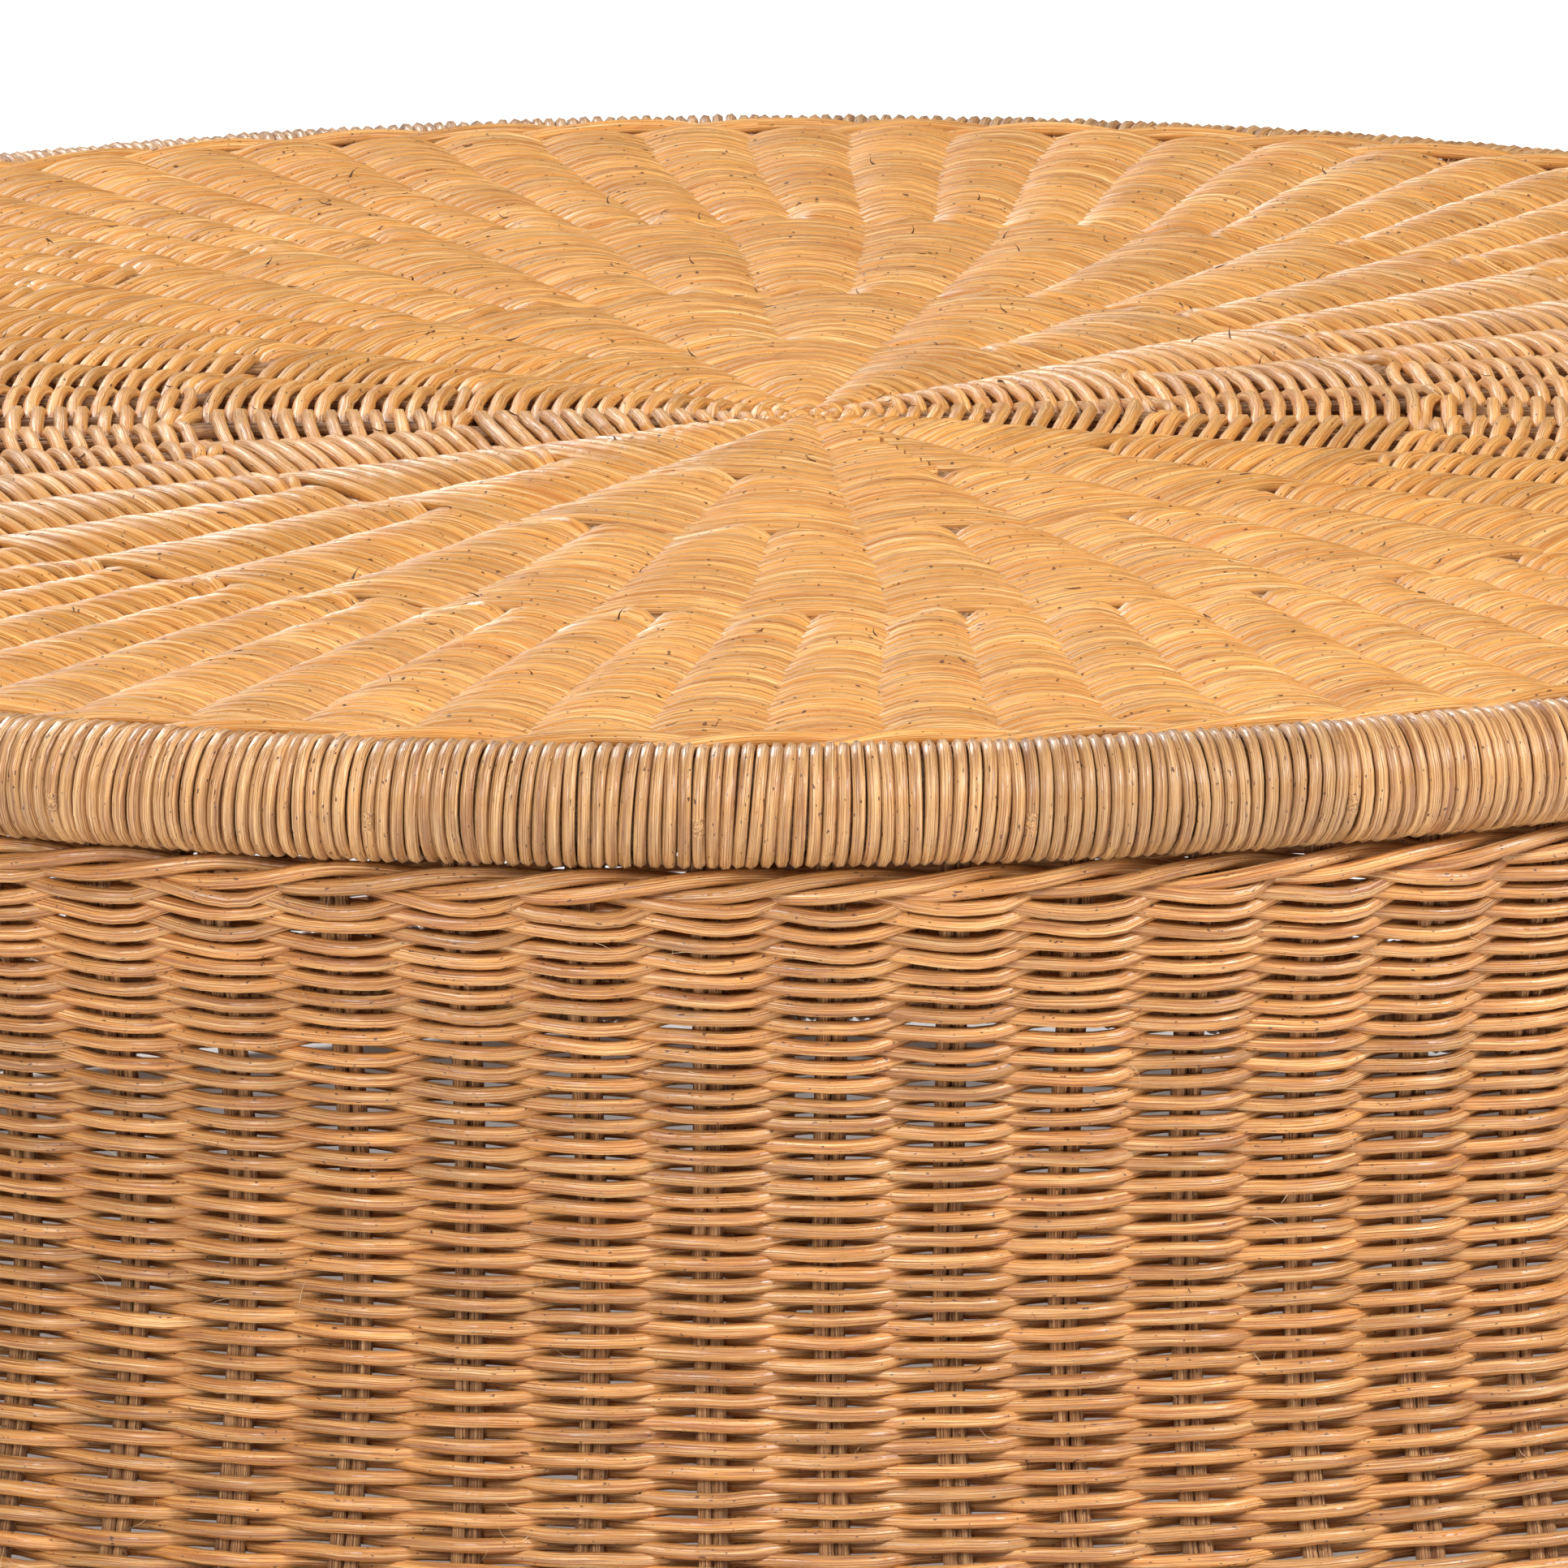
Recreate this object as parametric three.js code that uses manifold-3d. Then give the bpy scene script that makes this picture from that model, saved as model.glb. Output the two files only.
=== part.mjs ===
// A round woven rattan coffee table: a drum with a drawn-in waist.
// Millimetres, +Z up, the origin on the floor under the centre of the top.
import * as THREE from "three";
import { mergeVertices } from "three/addons/utils/BufferGeometryUtils.js";
import Module from "manifold-3d";

const wasm = await Module();
wasm.setup();

// ---- Driving dimensions ----
const TABLE_DIAMETER = 1200; // over the wrapped rims, the same at the top and the base
const TABLE_HEIGHT = 360; // floor to the upper face of the top
const WAIST_INSET = 28; // how far the side draws in at half height

const RIM_HOOP_DIAMETER = 32; // bent pole inside each rim
const WRAP_CANE = 4.7; // cane wound round the rim hoops
const WRAP_SLIT = 4; // line along the inside of a rim where the turns' ends are tucked
const TOP_PROUD = 1; // the top stands this far above its rim

const PANEL_THICKNESS = 13; // two weavers and a spoke
const EDGE_WALE_WIDTH = 16; // thicker strands that close the edge of the top
const EDGE_WALE_LIP = 1.5; // depth of its outer edge, where it runs out over the rim

const WEAVE_THICKNESS = 14; // two weavers and a stake
const WALE_HEIGHT = 12; // three-rod band above and below the side weave
const WALE_DEPTH = 16;
const WALE_INSET = 13; // its outer face, inside the face of the rim

const UPRIGHT_COUNT = 8;
const UPRIGHT_DIAMETER = 24;
const WAIST_HOOP_DIAMETER = 20;

const BAR_DIAMETER = 26; // poles that carry the top
const BAR_SPACING = 280; // between the parallel poles

const LASHING_CANE = 2; // thickness of the cane bindings
const LASHING_WIDTH = 8;
const BENT_POLE_SLACK = 1; // bindings on bent poles are looser by this much all round

const GLIDE_DIAMETER = 30;
const GLIDE_THICKNESS = 4;
const GLIDE_TAPER = 2; // how much smaller the floor face's radius is

const GAP = 0.3; // between neighbouring pieces
const RING_SEGMENTS = 48; // flats round every ring: a multiple of the uprights
const POLE_SIDES = 8;
const WRAP_STEPS = 12; // straight steps round the outside of a rim
const WEAVE_STEPS = 6; // straight steps up the curved side
const LASHING_STEPS = 2; // steps in each quarter turn of a binding

// ---- Derived sizes and places ----
const RIM_RADIUS = RIM_HOOP_DIAMETER / 2 + GAP + WRAP_CANE;
const slantRoom = 0.75 * LASHING_WIDTH; // at the sides of a binding, where poles slant across its width
const LASHING_FLAT = Math.cos(Math.PI / 4 / LASHING_STEPS); // a binding's flats lie this much inside its corners
const FLAT_SHARE = Math.cos(Math.PI / RING_SEGMENTS); // a ring's flats lie this much inside its corners
const CORNER_DIP = UPRIGHT_DIAMETER * Math.tan(Math.PI / RING_SEGMENTS); // a ring's wall beside an upright

const rimCentre = TABLE_DIAMETER / 2 - RIM_RADIUS; // radius of the middle of either rim
const topRimHeight = TABLE_HEIGHT - TOP_PROUD - RIM_RADIUS;
const baseRimHeight = GLIDE_THICKNESS + GAP + RIM_RADIUS;

const upperWaleTop = topRimHeight - RIM_RADIUS - GAP;
const weaveTop = upperWaleTop - WALE_HEIGHT - GAP;
const lowerWaleBottom = baseRimHeight + RIM_RADIUS + GAP;
const weaveBottom = lowerWaleBottom + WALE_HEIGHT + GAP;
const waistHeight = (weaveTop + weaveBottom) / 2;
const waleFace = TABLE_DIAMETER / 2 - WALE_INSET;

const panelUnderside = TABLE_HEIGHT - PANEL_THICKNESS;
const barHeight = panelUnderside - GAP - bindingReach(BAR_DIAMETER / 2);
const crossBarHeight = barHeight - BAR_DIAMETER - GAP;

// How far the corners of a binding stand from the centre line of the pole under it.
function bindingReach(poleRadius) {
  return (poleRadius + GAP + LASHING_CANE) / LASHING_FLAT;
}

const uprightRoom = bindingReach(UPRIGHT_DIAMETER / 2 + BENT_POLE_SLACK);

// Radius of the outer face of the side weave at a height: a shallow hollow curve between the wales.
function sideFace(height) {
  const share = (height - weaveBottom) / (weaveTop - weaveBottom);
  return waleFace - WAIST_INSET * 4 * share * (1 - share);
}

// Radius of an upright's centre line, inside the weave with room for its bindings.
function uprightRadius(height) {
  const held = THREE.MathUtils.clamp(height, weaveBottom, weaveTop);
  return sideFace(held) - WEAVE_THICKNESS - CORNER_DIP - GAP - uprightRoom;
}

// The same radius on the upright as it is made, in straight steps between its joints.
function steppedUprightRadius(height) {
  const step = (upperWaleTop - lowerWaleBottom) / WEAVE_STEPS;
  const share = (height - lowerWaleBottom) / step;
  const joint = lowerWaleBottom + Math.floor(share) * step;
  return THREE.MathUtils.lerp(uprightRadius(joint), uprightRadius(joint + step), share % 1);
}

const waistHoopRadius =
  uprightRadius(waistHeight) - UPRIGHT_DIAMETER / 2 - GAP - WAIST_HOOP_DIAMETER / 2;

// ---- Materials ----
const paleCane = { color: 0xd9a76a, roughness: 0.5, metalness: 0 };
const sideCane = { color: 0xc79a62, roughness: 0.5, metalness: 0 };
const dullCane = { color: 0xc09b6c, roughness: 0.6, metalness: 0 };
const rattanPole = { color: 0xb98d58, roughness: 0.65, metalness: 0 };
const darkRubber = { color: 0x2b2826, roughness: 0.85, metalness: 0 };

// ---- Shape helpers ----

// Points of an arc about (x, y), from one angle to another, both ends included.
function arcPoints(x, y, radius, fromAngle, toAngle, steps) {
  return Array.from({ length: steps + 1 }, (_, i) => {
    const angle = THREE.MathUtils.lerp(fromAngle, toAngle, i / steps);
    return new THREE.Vector2(x + radius * Math.cos(angle), y + radius * Math.sin(angle));
  });
}

// Corners of a regular polygon, the first one half a side round.
function polygonPoints(x, y, radius, sides) {
  const half = Math.PI / sides;
  return arcPoints(x, y, radius, half, 2 * Math.PI - half, sides - 1);
}

// A solid of revolution about Z. A profile off the axis is closed on itself here; x is the radius.
function turned(profile) {
  const onAxis = profile[0].x === 0;
  const points = onAxis ? profile : [...profile, profile[0].clone()];
  return new THREE.LatheGeometry(points, RING_SEGMENTS).rotateX(Math.PI / 2);
}

function hoop(ringRadius, height, diameter) {
  return turned(polygonPoints(ringRadius, height, diameter / 2, POLE_SIDES));
}

// Cane wound round a rim hoop, open along a slit that faces the middle of the table.
// Its inside has the hoop's own flats, so that the two nest.
function rimWrap(height) {
  const halfSlit = WRAP_SLIT / 2 / RIM_RADIUS;
  const outside = arcPoints(
    rimCentre, height, RIM_RADIUS, halfSlit - Math.PI, Math.PI - halfSlit, WRAP_STEPS,
  );
  const bore = RIM_RADIUS - WRAP_CANE;
  const halfSide = Math.PI / POLE_SIDES;
  const bed = arcPoints(rimCentre, height, bore, Math.PI - halfSide, halfSide - Math.PI, POLE_SIDES - 1);
  const slitFace = rimCentre - bore * Math.cos(halfSide);
  return turned([
    ...outside,
    new THREE.Vector2(slitFace, height + WRAP_SLIT / 2),
    ...bed,
    new THREE.Vector2(slitFace, height - WRAP_SLIT / 2),
  ]);
}

// A band of twisted rods, oval in section.
function wale(bottom) {
  const section = polygonPoints(0, 0, 1, POLE_SIDES);
  const flat = Math.cos(Math.PI / POLE_SIDES);
  const profile = section.map(
    (p) =>
      new THREE.Vector2(
        waleFace - WALE_DEPTH / 2 + (p.x * WALE_DEPTH) / 2 / flat,
        bottom + WALE_HEIGHT / 2 + (p.y * WALE_HEIGHT) / 2 / flat,
      ),
  );
  return turned(profile);
}

function straightPole(diameter, length) {
  return new THREE.CylinderGeometry(diameter / 2, diameter / 2, length, POLE_SIDES);
}

function manifoldOf(geometry) {
  const bare = geometry.clone();
  bare.deleteAttribute("normal");
  bare.deleteAttribute("uv");
  const merged = mergeVertices(bare, 1e-3);
  return new wasm.Manifold(
    new wasm.Mesh({
      numProp: 3,
      vertProperties: new Float32Array(merged.attributes.position.array),
      triVerts: new Uint32Array(merged.index.array),
    }),
  );
}

function geometryOf(manifold) {
  const mesh = manifold.getMesh();
  const geometry = new THREE.BufferGeometry();
  geometry.setAttribute("position", new THREE.BufferAttribute(mesh.vertProperties, 3));
  geometry.setIndex(new THREE.BufferAttribute(mesh.triVerts, 1));
  return geometry;
}

// ---- Sub-parts ----

// Woven disc, from the centre out to the edge wale.
function topPanel() {
  const radius = topPanelRadius();
  return turned([
    new THREE.Vector2(0, panelUnderside),
    new THREE.Vector2(radius, panelUnderside),
    new THREE.Vector2(radius, TABLE_HEIGHT),
    new THREE.Vector2(0, TABLE_HEIGHT),
  ]);
}

// The panel ends where its lower edge would meet the rim, less the strands of the edge wale there.
function topPanelRadius() {
  return edgeWaleOuter() - EDGE_WALE_WIDTH - GAP;
}

// The edge wale runs out over the rim until only its lip is left above the wrapping.
function edgeWaleOuter() {
  const seat = RIM_RADIUS + GAP;
  const rise = RIM_RADIUS + TOP_PROUD - EDGE_WALE_LIP;
  return rimCentre - Math.sqrt(seat * seat - rise * rise);
}

function topEdgeWale() {
  const seat = RIM_RADIUS + GAP;
  const underside = Math.asin((panelUnderside - topRimHeight) / seat);
  const lip = Math.asin((RIM_RADIUS + TOP_PROUD - EDGE_WALE_LIP) / seat);
  const seatArc = arcPoints(rimCentre, topRimHeight, seat, Math.PI - underside, Math.PI - lip, 4);
  const inner = topPanelRadius() + GAP;
  return turned([
    new THREE.Vector2(inner, panelUnderside),
    ...seatArc,
    new THREE.Vector2(edgeWaleOuter(), TABLE_HEIGHT - EDGE_WALE_LIP / 2),
    new THREE.Vector2(edgeWaleOuter() - EDGE_WALE_LIP, TABLE_HEIGHT),
    new THREE.Vector2(inner, TABLE_HEIGHT),
  ]);
}

// The drum's woven side: stakes and weavers as one shell, open at both ends.
function sideWeave() {
  const heights = Array.from({ length: WEAVE_STEPS + 1 }, (_, i) =>
    THREE.MathUtils.lerp(weaveBottom, weaveTop, i / WEAVE_STEPS),
  );
  const outside = heights.map((h) => new THREE.Vector2(sideFace(h), h));
  const inside = heights.map((h) => new THREE.Vector2(sideFace(h) - WEAVE_THICKNESS, h));
  return turned([...outside, ...inside.reverse()]);
}

// Bent pole inside the weave, standing between the two rims with its ends cut level.
function upright() {
  const length = upperWaleTop - lowerWaleBottom;
  const radius = UPRIGHT_DIAMETER / 2;
  const pole = new THREE.CylinderGeometry(radius, radius, length, POLE_SIDES, WEAVE_STEPS)
    .rotateX(Math.PI / 2)
    .translate(0, 0, lowerWaleBottom + length / 2);
  const corners = pole.getAttribute("position");
  for (let i = 0; i < corners.count; i += 1) {
    corners.setX(i, corners.getX(i) + uprightRadius(corners.getZ(i)));
  }
  return pole;
}

// One band round two poles that cross at right angles, cut by the plane halfway between them.
// The first pole is at the origin, the second beside it towards -X.
function lashingBand(firstRadius, secondRadius) {
  const secondX = -(firstRadius + GAP + secondRadius);
  const outline = (clearance) => {
    const path = new THREE.Path();
    const deep = (radius) => (radius + clearance) / LASHING_FLAT;
    const across = (radius) => (radius * Math.SQRT2 + slantRoom + clearance) / LASHING_FLAT;
    path.absellipse(0, 0, deep(firstRadius), across(firstRadius), -Math.PI / 2, Math.PI / 2);
    path.absellipse(
      secondX, 0, deep(secondRadius), across(secondRadius), Math.PI / 2, 1.5 * Math.PI,
    );
    return path.getPoints(LASHING_STEPS);
  };
  const ring = new THREE.Shape(outline(GAP + LASHING_CANE));
  ring.holes.push(new THREE.Path(outline(GAP)));
  const options = { depth: LASHING_WIDTH, bevelEnabled: false };
  return new THREE.ExtrudeGeometry(ring, options).translate(0, 0, -LASHING_WIDTH / 2);
}

// Two bands that cross each other on both sides of the joint.
function crossLashing(firstRadius, secondRadius) {
  const band = lashingBand(firstRadius, secondRadius);
  const rising = manifoldOf(band.clone().rotateX(Math.PI / 4));
  const falling = manifoldOf(band.rotateX(-Math.PI / 4));
  return geometryOf(rising.add(falling));
}

function glide() {
  const radius = GLIDE_DIAMETER / 2;
  const disc = new THREE.CylinderGeometry(radius, radius - GLIDE_TAPER, GLIDE_THICKNESS, 12);
  return disc.rotateX(Math.PI / 2).translate(0, 0, GLIDE_THICKNESS / 2);
}

// Half the length of a carrying pole whose centre line is off the middle by offset.
function barHalfLength(offset) {
  const inside = (rimCentre - RIM_RADIUS) * FLAT_SHARE - GAP;
  const outermost = Math.abs(offset) + BAR_DIAMETER / 2;
  return Math.sqrt(inside * inside - outermost * outermost);
}

// ---- Assembly ----
const table = new THREE.Group();

function addMesh(name, geometry, finish, parent = table) {
  const mesh = new THREE.Mesh(geometry, new THREE.MeshStandardMaterial(finish));
  mesh.name = name;
  parent.add(mesh);
  return mesh;
}

function addTop() {
  addMesh("top_panel", topPanel(), paleCane);
  addMesh("top_edge_wale", topEdgeWale(), paleCane);
  addMesh("top_rim_hoop", hoop(rimCentre, topRimHeight, RIM_HOOP_DIAMETER), rattanPole);
  addMesh("top_rim_wrap", rimWrap(topRimHeight), dullCane);
}

function addSide() {
  addMesh("upper_wale", wale(upperWaleTop - WALE_HEIGHT), sideCane);
  addMesh("side_weave", sideWeave(), sideCane);
  addMesh("lower_wale", wale(lowerWaleBottom), sideCane);
}

function addBase() {
  addMesh("base_hoop", hoop(rimCentre, baseRimHeight, RIM_HOOP_DIAMETER), rattanPole);
  addMesh("base_wrap", rimWrap(baseRimHeight), dullCane);
}

// Three parallel poles under the top and one that crosses below them, bound at each crossing.
function addTopSupport() {
  [-BAR_SPACING, 0, BAR_SPACING].forEach((offset, i) => {
    const pole = straightPole(BAR_DIAMETER, 2 * barHalfLength(offset)).rotateZ(Math.PI / 2);
    addMesh(`top_bar_${i + 1}`, pole, rattanPole).position.set(0, offset, barHeight);
    const binding = crossLashing(BAR_DIAMETER / 2, BAR_DIAMETER / 2).rotateY(-Math.PI / 2);
    addMesh(`bar_lashing_${i + 1}`, binding, paleCane).position.set(0, offset, barHeight);
  });
  const lowest = crossBarHeight - BAR_DIAMETER / 2;
  const reach = steppedUprightRadius(lowest) - UPRIGHT_DIAMETER / 2 - GAP;
  addMesh("cross_bar", straightPole(BAR_DIAMETER, 2 * reach), rattanPole).position.z = crossBarHeight;
}

// Poles, waist bindings and glides, all at the same places round the table.
function addFrame() {
  addMesh("waist_hoop", hoop(waistHoopRadius, waistHeight, WAIST_HOOP_DIAMETER), rattanPole);
  for (let i = 0; i < UPRIGHT_COUNT; i += 1) {
    const bay = new THREE.Group();
    bay.rotation.z = (i * 2 * Math.PI) / UPRIGHT_COUNT;
    table.add(bay);
    addMesh(`upright_${i + 1}`, upright(), rattanPole, bay);
    const binding = crossLashing(
      UPRIGHT_DIAMETER / 2 + BENT_POLE_SLACK, WAIST_HOOP_DIAMETER / 2 + BENT_POLE_SLACK,
    );
    const lashing = addMesh(`waist_lashing_${i + 1}`, binding, paleCane, bay);
    lashing.position.set(uprightRadius(waistHeight), 0, waistHeight);
    addMesh(`glide_${i + 1}`, glide(), darkRubber, bay).position.x = rimCentre;
  }
}

addTop();
addSide();
addBase();
addTopSupport();
addFrame();

export default table;
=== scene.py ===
"""Wicker coffee table: a woven rattan drum with a drawn-in waist, a flat woven top and wrapped rims.

Every strand of the weaving is its own length of cane, laid by a rule: which stakes it passes, and
whether it passes outside or inside them. Angles are measured round the table from the front (-Y)
towards +X, and sizes are in metres where nothing else is said.
"""

import logging
import math
from dataclasses import dataclass
from enum import Enum
from typing import Union

import bmesh
import bpy
from mathutils import Matrix, Vector


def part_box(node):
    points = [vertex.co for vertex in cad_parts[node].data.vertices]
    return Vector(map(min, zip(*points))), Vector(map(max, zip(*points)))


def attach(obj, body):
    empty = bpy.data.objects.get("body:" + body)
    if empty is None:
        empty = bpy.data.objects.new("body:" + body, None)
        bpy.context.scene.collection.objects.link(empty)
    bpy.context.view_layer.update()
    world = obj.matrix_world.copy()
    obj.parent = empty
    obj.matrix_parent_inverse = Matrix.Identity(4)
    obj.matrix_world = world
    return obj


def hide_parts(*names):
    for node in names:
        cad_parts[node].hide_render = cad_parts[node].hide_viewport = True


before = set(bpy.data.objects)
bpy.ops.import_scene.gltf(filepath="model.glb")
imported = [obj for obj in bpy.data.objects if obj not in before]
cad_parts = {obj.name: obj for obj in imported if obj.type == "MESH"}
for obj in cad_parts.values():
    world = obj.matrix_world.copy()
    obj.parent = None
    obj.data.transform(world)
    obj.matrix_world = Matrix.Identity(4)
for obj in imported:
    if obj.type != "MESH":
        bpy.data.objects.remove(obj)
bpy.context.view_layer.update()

LOG = logging.getLogger("wicker_table")
MM = 0.001
TURN = 2 * math.pi
BODY = "root"

STAKES = 88
STAKE_STEP = TURN / STAKES
# The gap between two pairs of stakes that all pairs are counted from.
FIRST_STAKE_LINE = math.radians(4.445)
UPRIGHTS = 8
TOP_BARS = 3
GLIDES = 8

Colour = tuple[float, float, float]
Number = Union["Field", float]

FIBRE_SHADE: Colour = (128, 70, 26)
NICK_SHADE: Colour = (92, 48, 20)
LACQUER_ROUGHNESS = 0.3
CANE_RELIEF = 0.9 * MM


class Slot(Enum):
    """The record's material slots."""

    TOP = "top_cane"
    SIDE = "side_cane"
    WRAP = "wrap_cane"
    POLE = "rattan_pole"
    BINDING = "binding_cane"
    GLIDE = "glide_rubber"


class PoleShape(Enum):
    """How a frame pole runs."""

    STRAIGHT = "straight"
    BENT = "bent"
    HOOP = "hoop"


# ---------------------------------------------------------------- node trees


class Field:
    """A value that varies over the geometry. Arithmetic on it adds Math nodes to its tree."""

    def __init__(self, tree: "Tree", socket: bpy.types.NodeSocket) -> None:
        """Keep the tree and the socket that puts the value out."""
        self.tree = tree
        self.socket = socket

    def __add__(self, other: Number) -> "Field":
        """Return the sum."""
        return self.tree.math("ADD", self, other)

    def __radd__(self, other: Number) -> "Field":
        """Return the sum, with the number on the left."""
        return self.tree.math("ADD", other, self)

    def __sub__(self, other: Number) -> "Field":
        """Return the difference."""
        return self.tree.math("SUBTRACT", self, other)

    def __rsub__(self, other: Number) -> "Field":
        """Return the difference, with the number on the left."""
        return self.tree.math("SUBTRACT", other, self)

    def __mul__(self, other: Number) -> "Field":
        """Return the product."""
        return self.tree.math("MULTIPLY", self, other)

    def __rmul__(self, other: Number) -> "Field":
        """Return the product, with the number on the left."""
        return self.tree.math("MULTIPLY", other, self)

    def __truediv__(self, other: Number) -> "Field":
        """Return the quotient."""
        return self.tree.math("DIVIDE", self, other)

    def __neg__(self) -> "Field":
        """Return the value with its sign changed."""
        return self.tree.math("MULTIPLY", self, -1.0)


class Tree:
    """A Geometry Nodes group under construction, with named inputs and one line of geometry."""

    def __init__(self, name: str) -> None:
        """Start an empty group.

        Args:
            name: The group's name.
        """
        self.group = bpy.data.node_groups.new(name, "GeometryNodeTree")
        self.group.interface.new_socket("Geometry", in_out="OUTPUT", socket_type="NodeSocketGeometry")
        self.entry = self.group.nodes.new("NodeGroupInput")
        self.exit = self.group.nodes.new("NodeGroupOutput")
        self.sizes: dict[str, float] = {}
        self.geometry: bpy.types.NodeSocket | None = None

    def size(self, name: str, value: float) -> Field:
        """Add a named input.

        Args:
            name: The input's name.
            value: What the modifier sets it to. A whole number makes an integer socket.

        Returns:
            The input as a field.
        """
        kind = "NodeSocketInt" if isinstance(value, int) else "NodeSocketFloat"
        socket = self.group.interface.new_socket(name, in_out="INPUT", socket_type=kind)
        self.sizes[socket.identifier] = value
        return Field(self, self.entry.outputs[name])

    def node(self, kind: str, **settings: object) -> bpy.types.Node:
        """Add a node.

        Args:
            kind: The node's type name.
            **settings: Properties to set on it.

        Returns:
            The new node.
        """
        made = self.group.nodes.new(kind)
        for name, value in settings.items():
            setattr(made, name, value)
        return made

    def feed(self, socket: bpy.types.NodeSocket, value: Number) -> None:
        """Link a field to a socket, or set the socket to a plain number."""
        if isinstance(value, Field):
            self.group.links.new(value.socket, socket)
        else:
            socket.default_value = value

    def math(self, operation: str, first: Number, second: Number = 0.0, third: Number = 0.0) -> Field:
        """Add a Math node.

        Args:
            operation: The node's operation.
            first: Its first input.
            second: Its second input, where it has one.
            third: Its third input, where it has one.

        Returns:
            The result.
        """
        made = self.node("ShaderNodeMath", operation=operation)
        for socket, value in zip(made.inputs, (first, second, third)):
            self.feed(socket, value)
        return Field(self, made.outputs[0])

    def sin(self, angle: Number) -> Field:
        """Return the sine."""
        return self.math("SINE", angle)

    def cos(self, angle: Number) -> Field:
        """Return the cosine."""
        return self.math("COSINE", angle)

    def clamp(self, value: Number, low: float, high: float) -> Field:
        """Return the value held between two limits."""
        return self.math("MINIMUM", self.math("MAXIMUM", value, low), high)

    def bell(self, distance: Number) -> Field:
        """Return exp(-distance squared), a smooth bump one unit wide."""
        return self.math("EXPONENT", -(distance * distance))

    def ease(self, value: Number, low: float, high: float) -> Field:
        """Return 0 below low, 1 above high, and a smooth step between."""
        made = self.node("ShaderNodeMapRange", interpolation_type="SMOOTHSTEP")
        self.feed(made.inputs["Value"], value)
        made.inputs["From Min"].default_value = low
        made.inputs["From Max"].default_value = high
        return Field(self, made.outputs["Result"])

    def flattened(self, wave: Field, flatness: float) -> Field:
        """Return a wave from -1 to 1 with flatter crests, as a cane lies across what it passes."""
        return self.math("TANH", wave * flatness) * (1 / math.tanh(flatness))

    def pairs(self, number: Field) -> tuple[Field, Field]:
        """Return the pair that each rod belongs to, and its side of the pair, -1 or 1."""
        pair = self.math("FLOOR", number * 0.5)
        return pair, (number - pair * 2.0) * 2.0 - 1.0

    def vector(self, x: Number, y: Number, z: Number) -> Field:
        """Return a vector of three values."""
        made = self.node("ShaderNodeCombineXYZ")
        for socket, value in zip(made.inputs, (x, y, z)):
            self.feed(socket, value)
        return Field(self, made.outputs[0])

    def polar(self, radius: Number, angle: Number, height: Number) -> Field:
        """Return the point at a radius, an angle from the front and a height."""
        return self.vector(radius * self.sin(angle), -(radius * self.cos(angle)), height)

    def noise(self, x: Number, y: Number, z: Number, detail: float = 0.0) -> Field:
        """Add a Noise Texture node.

        Args:
            x: First coordinate, in grains.
            y: Second coordinate.
            z: Third coordinate.
            detail: How many finer layers it has.

        Returns:
            Noise about zero, mostly within half a unit either way.
        """
        made = self.node("ShaderNodeTexNoise", noise_dimensions="3D")
        self.feed(made.inputs["Vector"], self.vector(x, y, z))
        made.inputs["Scale"].default_value = 1.0
        made.inputs["Detail"].default_value = detail
        return (Field(self, made.outputs[0]) - 0.5) * 2.0

    def ring_noise(self, angle: Field, grain: float, layer: Number, detail: float = 0.0) -> Field:
        """Return noise that closes on itself round the table.

        Args:
            angle: The angle round the table.
            grain: Grains round the table, divided by a full turn.
            layer: Keeps one strand's noise apart from the next one's.
            detail: How many finer layers it has.

        Returns:
            Noise about zero.
        """
        return self.noise(self.cos(angle) * grain, self.sin(angle) * grain, layer, detail)

    def random(self, number: Field, low: float, high: float, seed: int) -> Field:
        """Return a random value for each whole number.

        Args:
            number: The whole number, such as a strand's.
            low: The least value.
            high: The greatest value.
            seed: Fixes the draw.

        Returns:
            The value drawn.
        """
        made = self.node("FunctionNodeRandomValue", data_type="FLOAT")
        floats = [s for s in made.inputs if s.enabled and s.name in ("Min", "Max")]
        floats[0].default_value = low
        floats[1].default_value = high
        self.feed(made.inputs["ID"], number)
        made.inputs["Seed"].default_value = seed
        return Field(self, made.outputs[1])

    def step(self, made: bpy.types.Node) -> bpy.types.Node:
        """Pass the geometry so far through a node, and return the node."""
        if self.geometry is not None:
            self.group.links.new(self.geometry, made.inputs[0])
        self.geometry = made.outputs[0]
        return made

    def strands(self, count: Number, points: Number, first: Number = 0.0) -> tuple[Field, Field]:
        """Start with a number of strands, all on one straight line.

        Args:
            count: How many strands.
            points: Points on each.
            first: The first strand's number.

        Returns:
            The strand's number, and the share of the way along it, from 0 to 1.
        """
        line = self.node("GeometryNodeCurvePrimitiveLine")
        line.inputs["End"].default_value = (1.0, 0.0, 0.0)
        self.geometry = line.outputs[0]
        evened = self.step(self.node("GeometryNodeResampleCurve"))
        self.feed(evened.inputs["Count"], points)
        copies = self.step(self.node("GeometryNodeDuplicateElements", domain="SPLINE"))
        self.feed(copies.inputs["Amount"], count)
        place = self.node("ShaderNodeSeparateXYZ")
        self.group.links.new(self.node("GeometryNodeInputPosition").outputs[0], place.inputs[0])
        self.store("strand", Field(self, copies.outputs[1]) + first)
        self.store("share", Field(self, place.outputs[0]))
        return self.recall("strand"), self.recall("share")

    def store(self, name: str, value: Field, kind: str = "FLOAT") -> None:
        """Keep a value on the geometry under a name."""
        made = self.step(self.node("GeometryNodeStoreNamedAttribute", data_type=kind, domain="POINT"))
        made.inputs["Name"].default_value = name
        self.feed(made.inputs["Value"], value)

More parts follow.
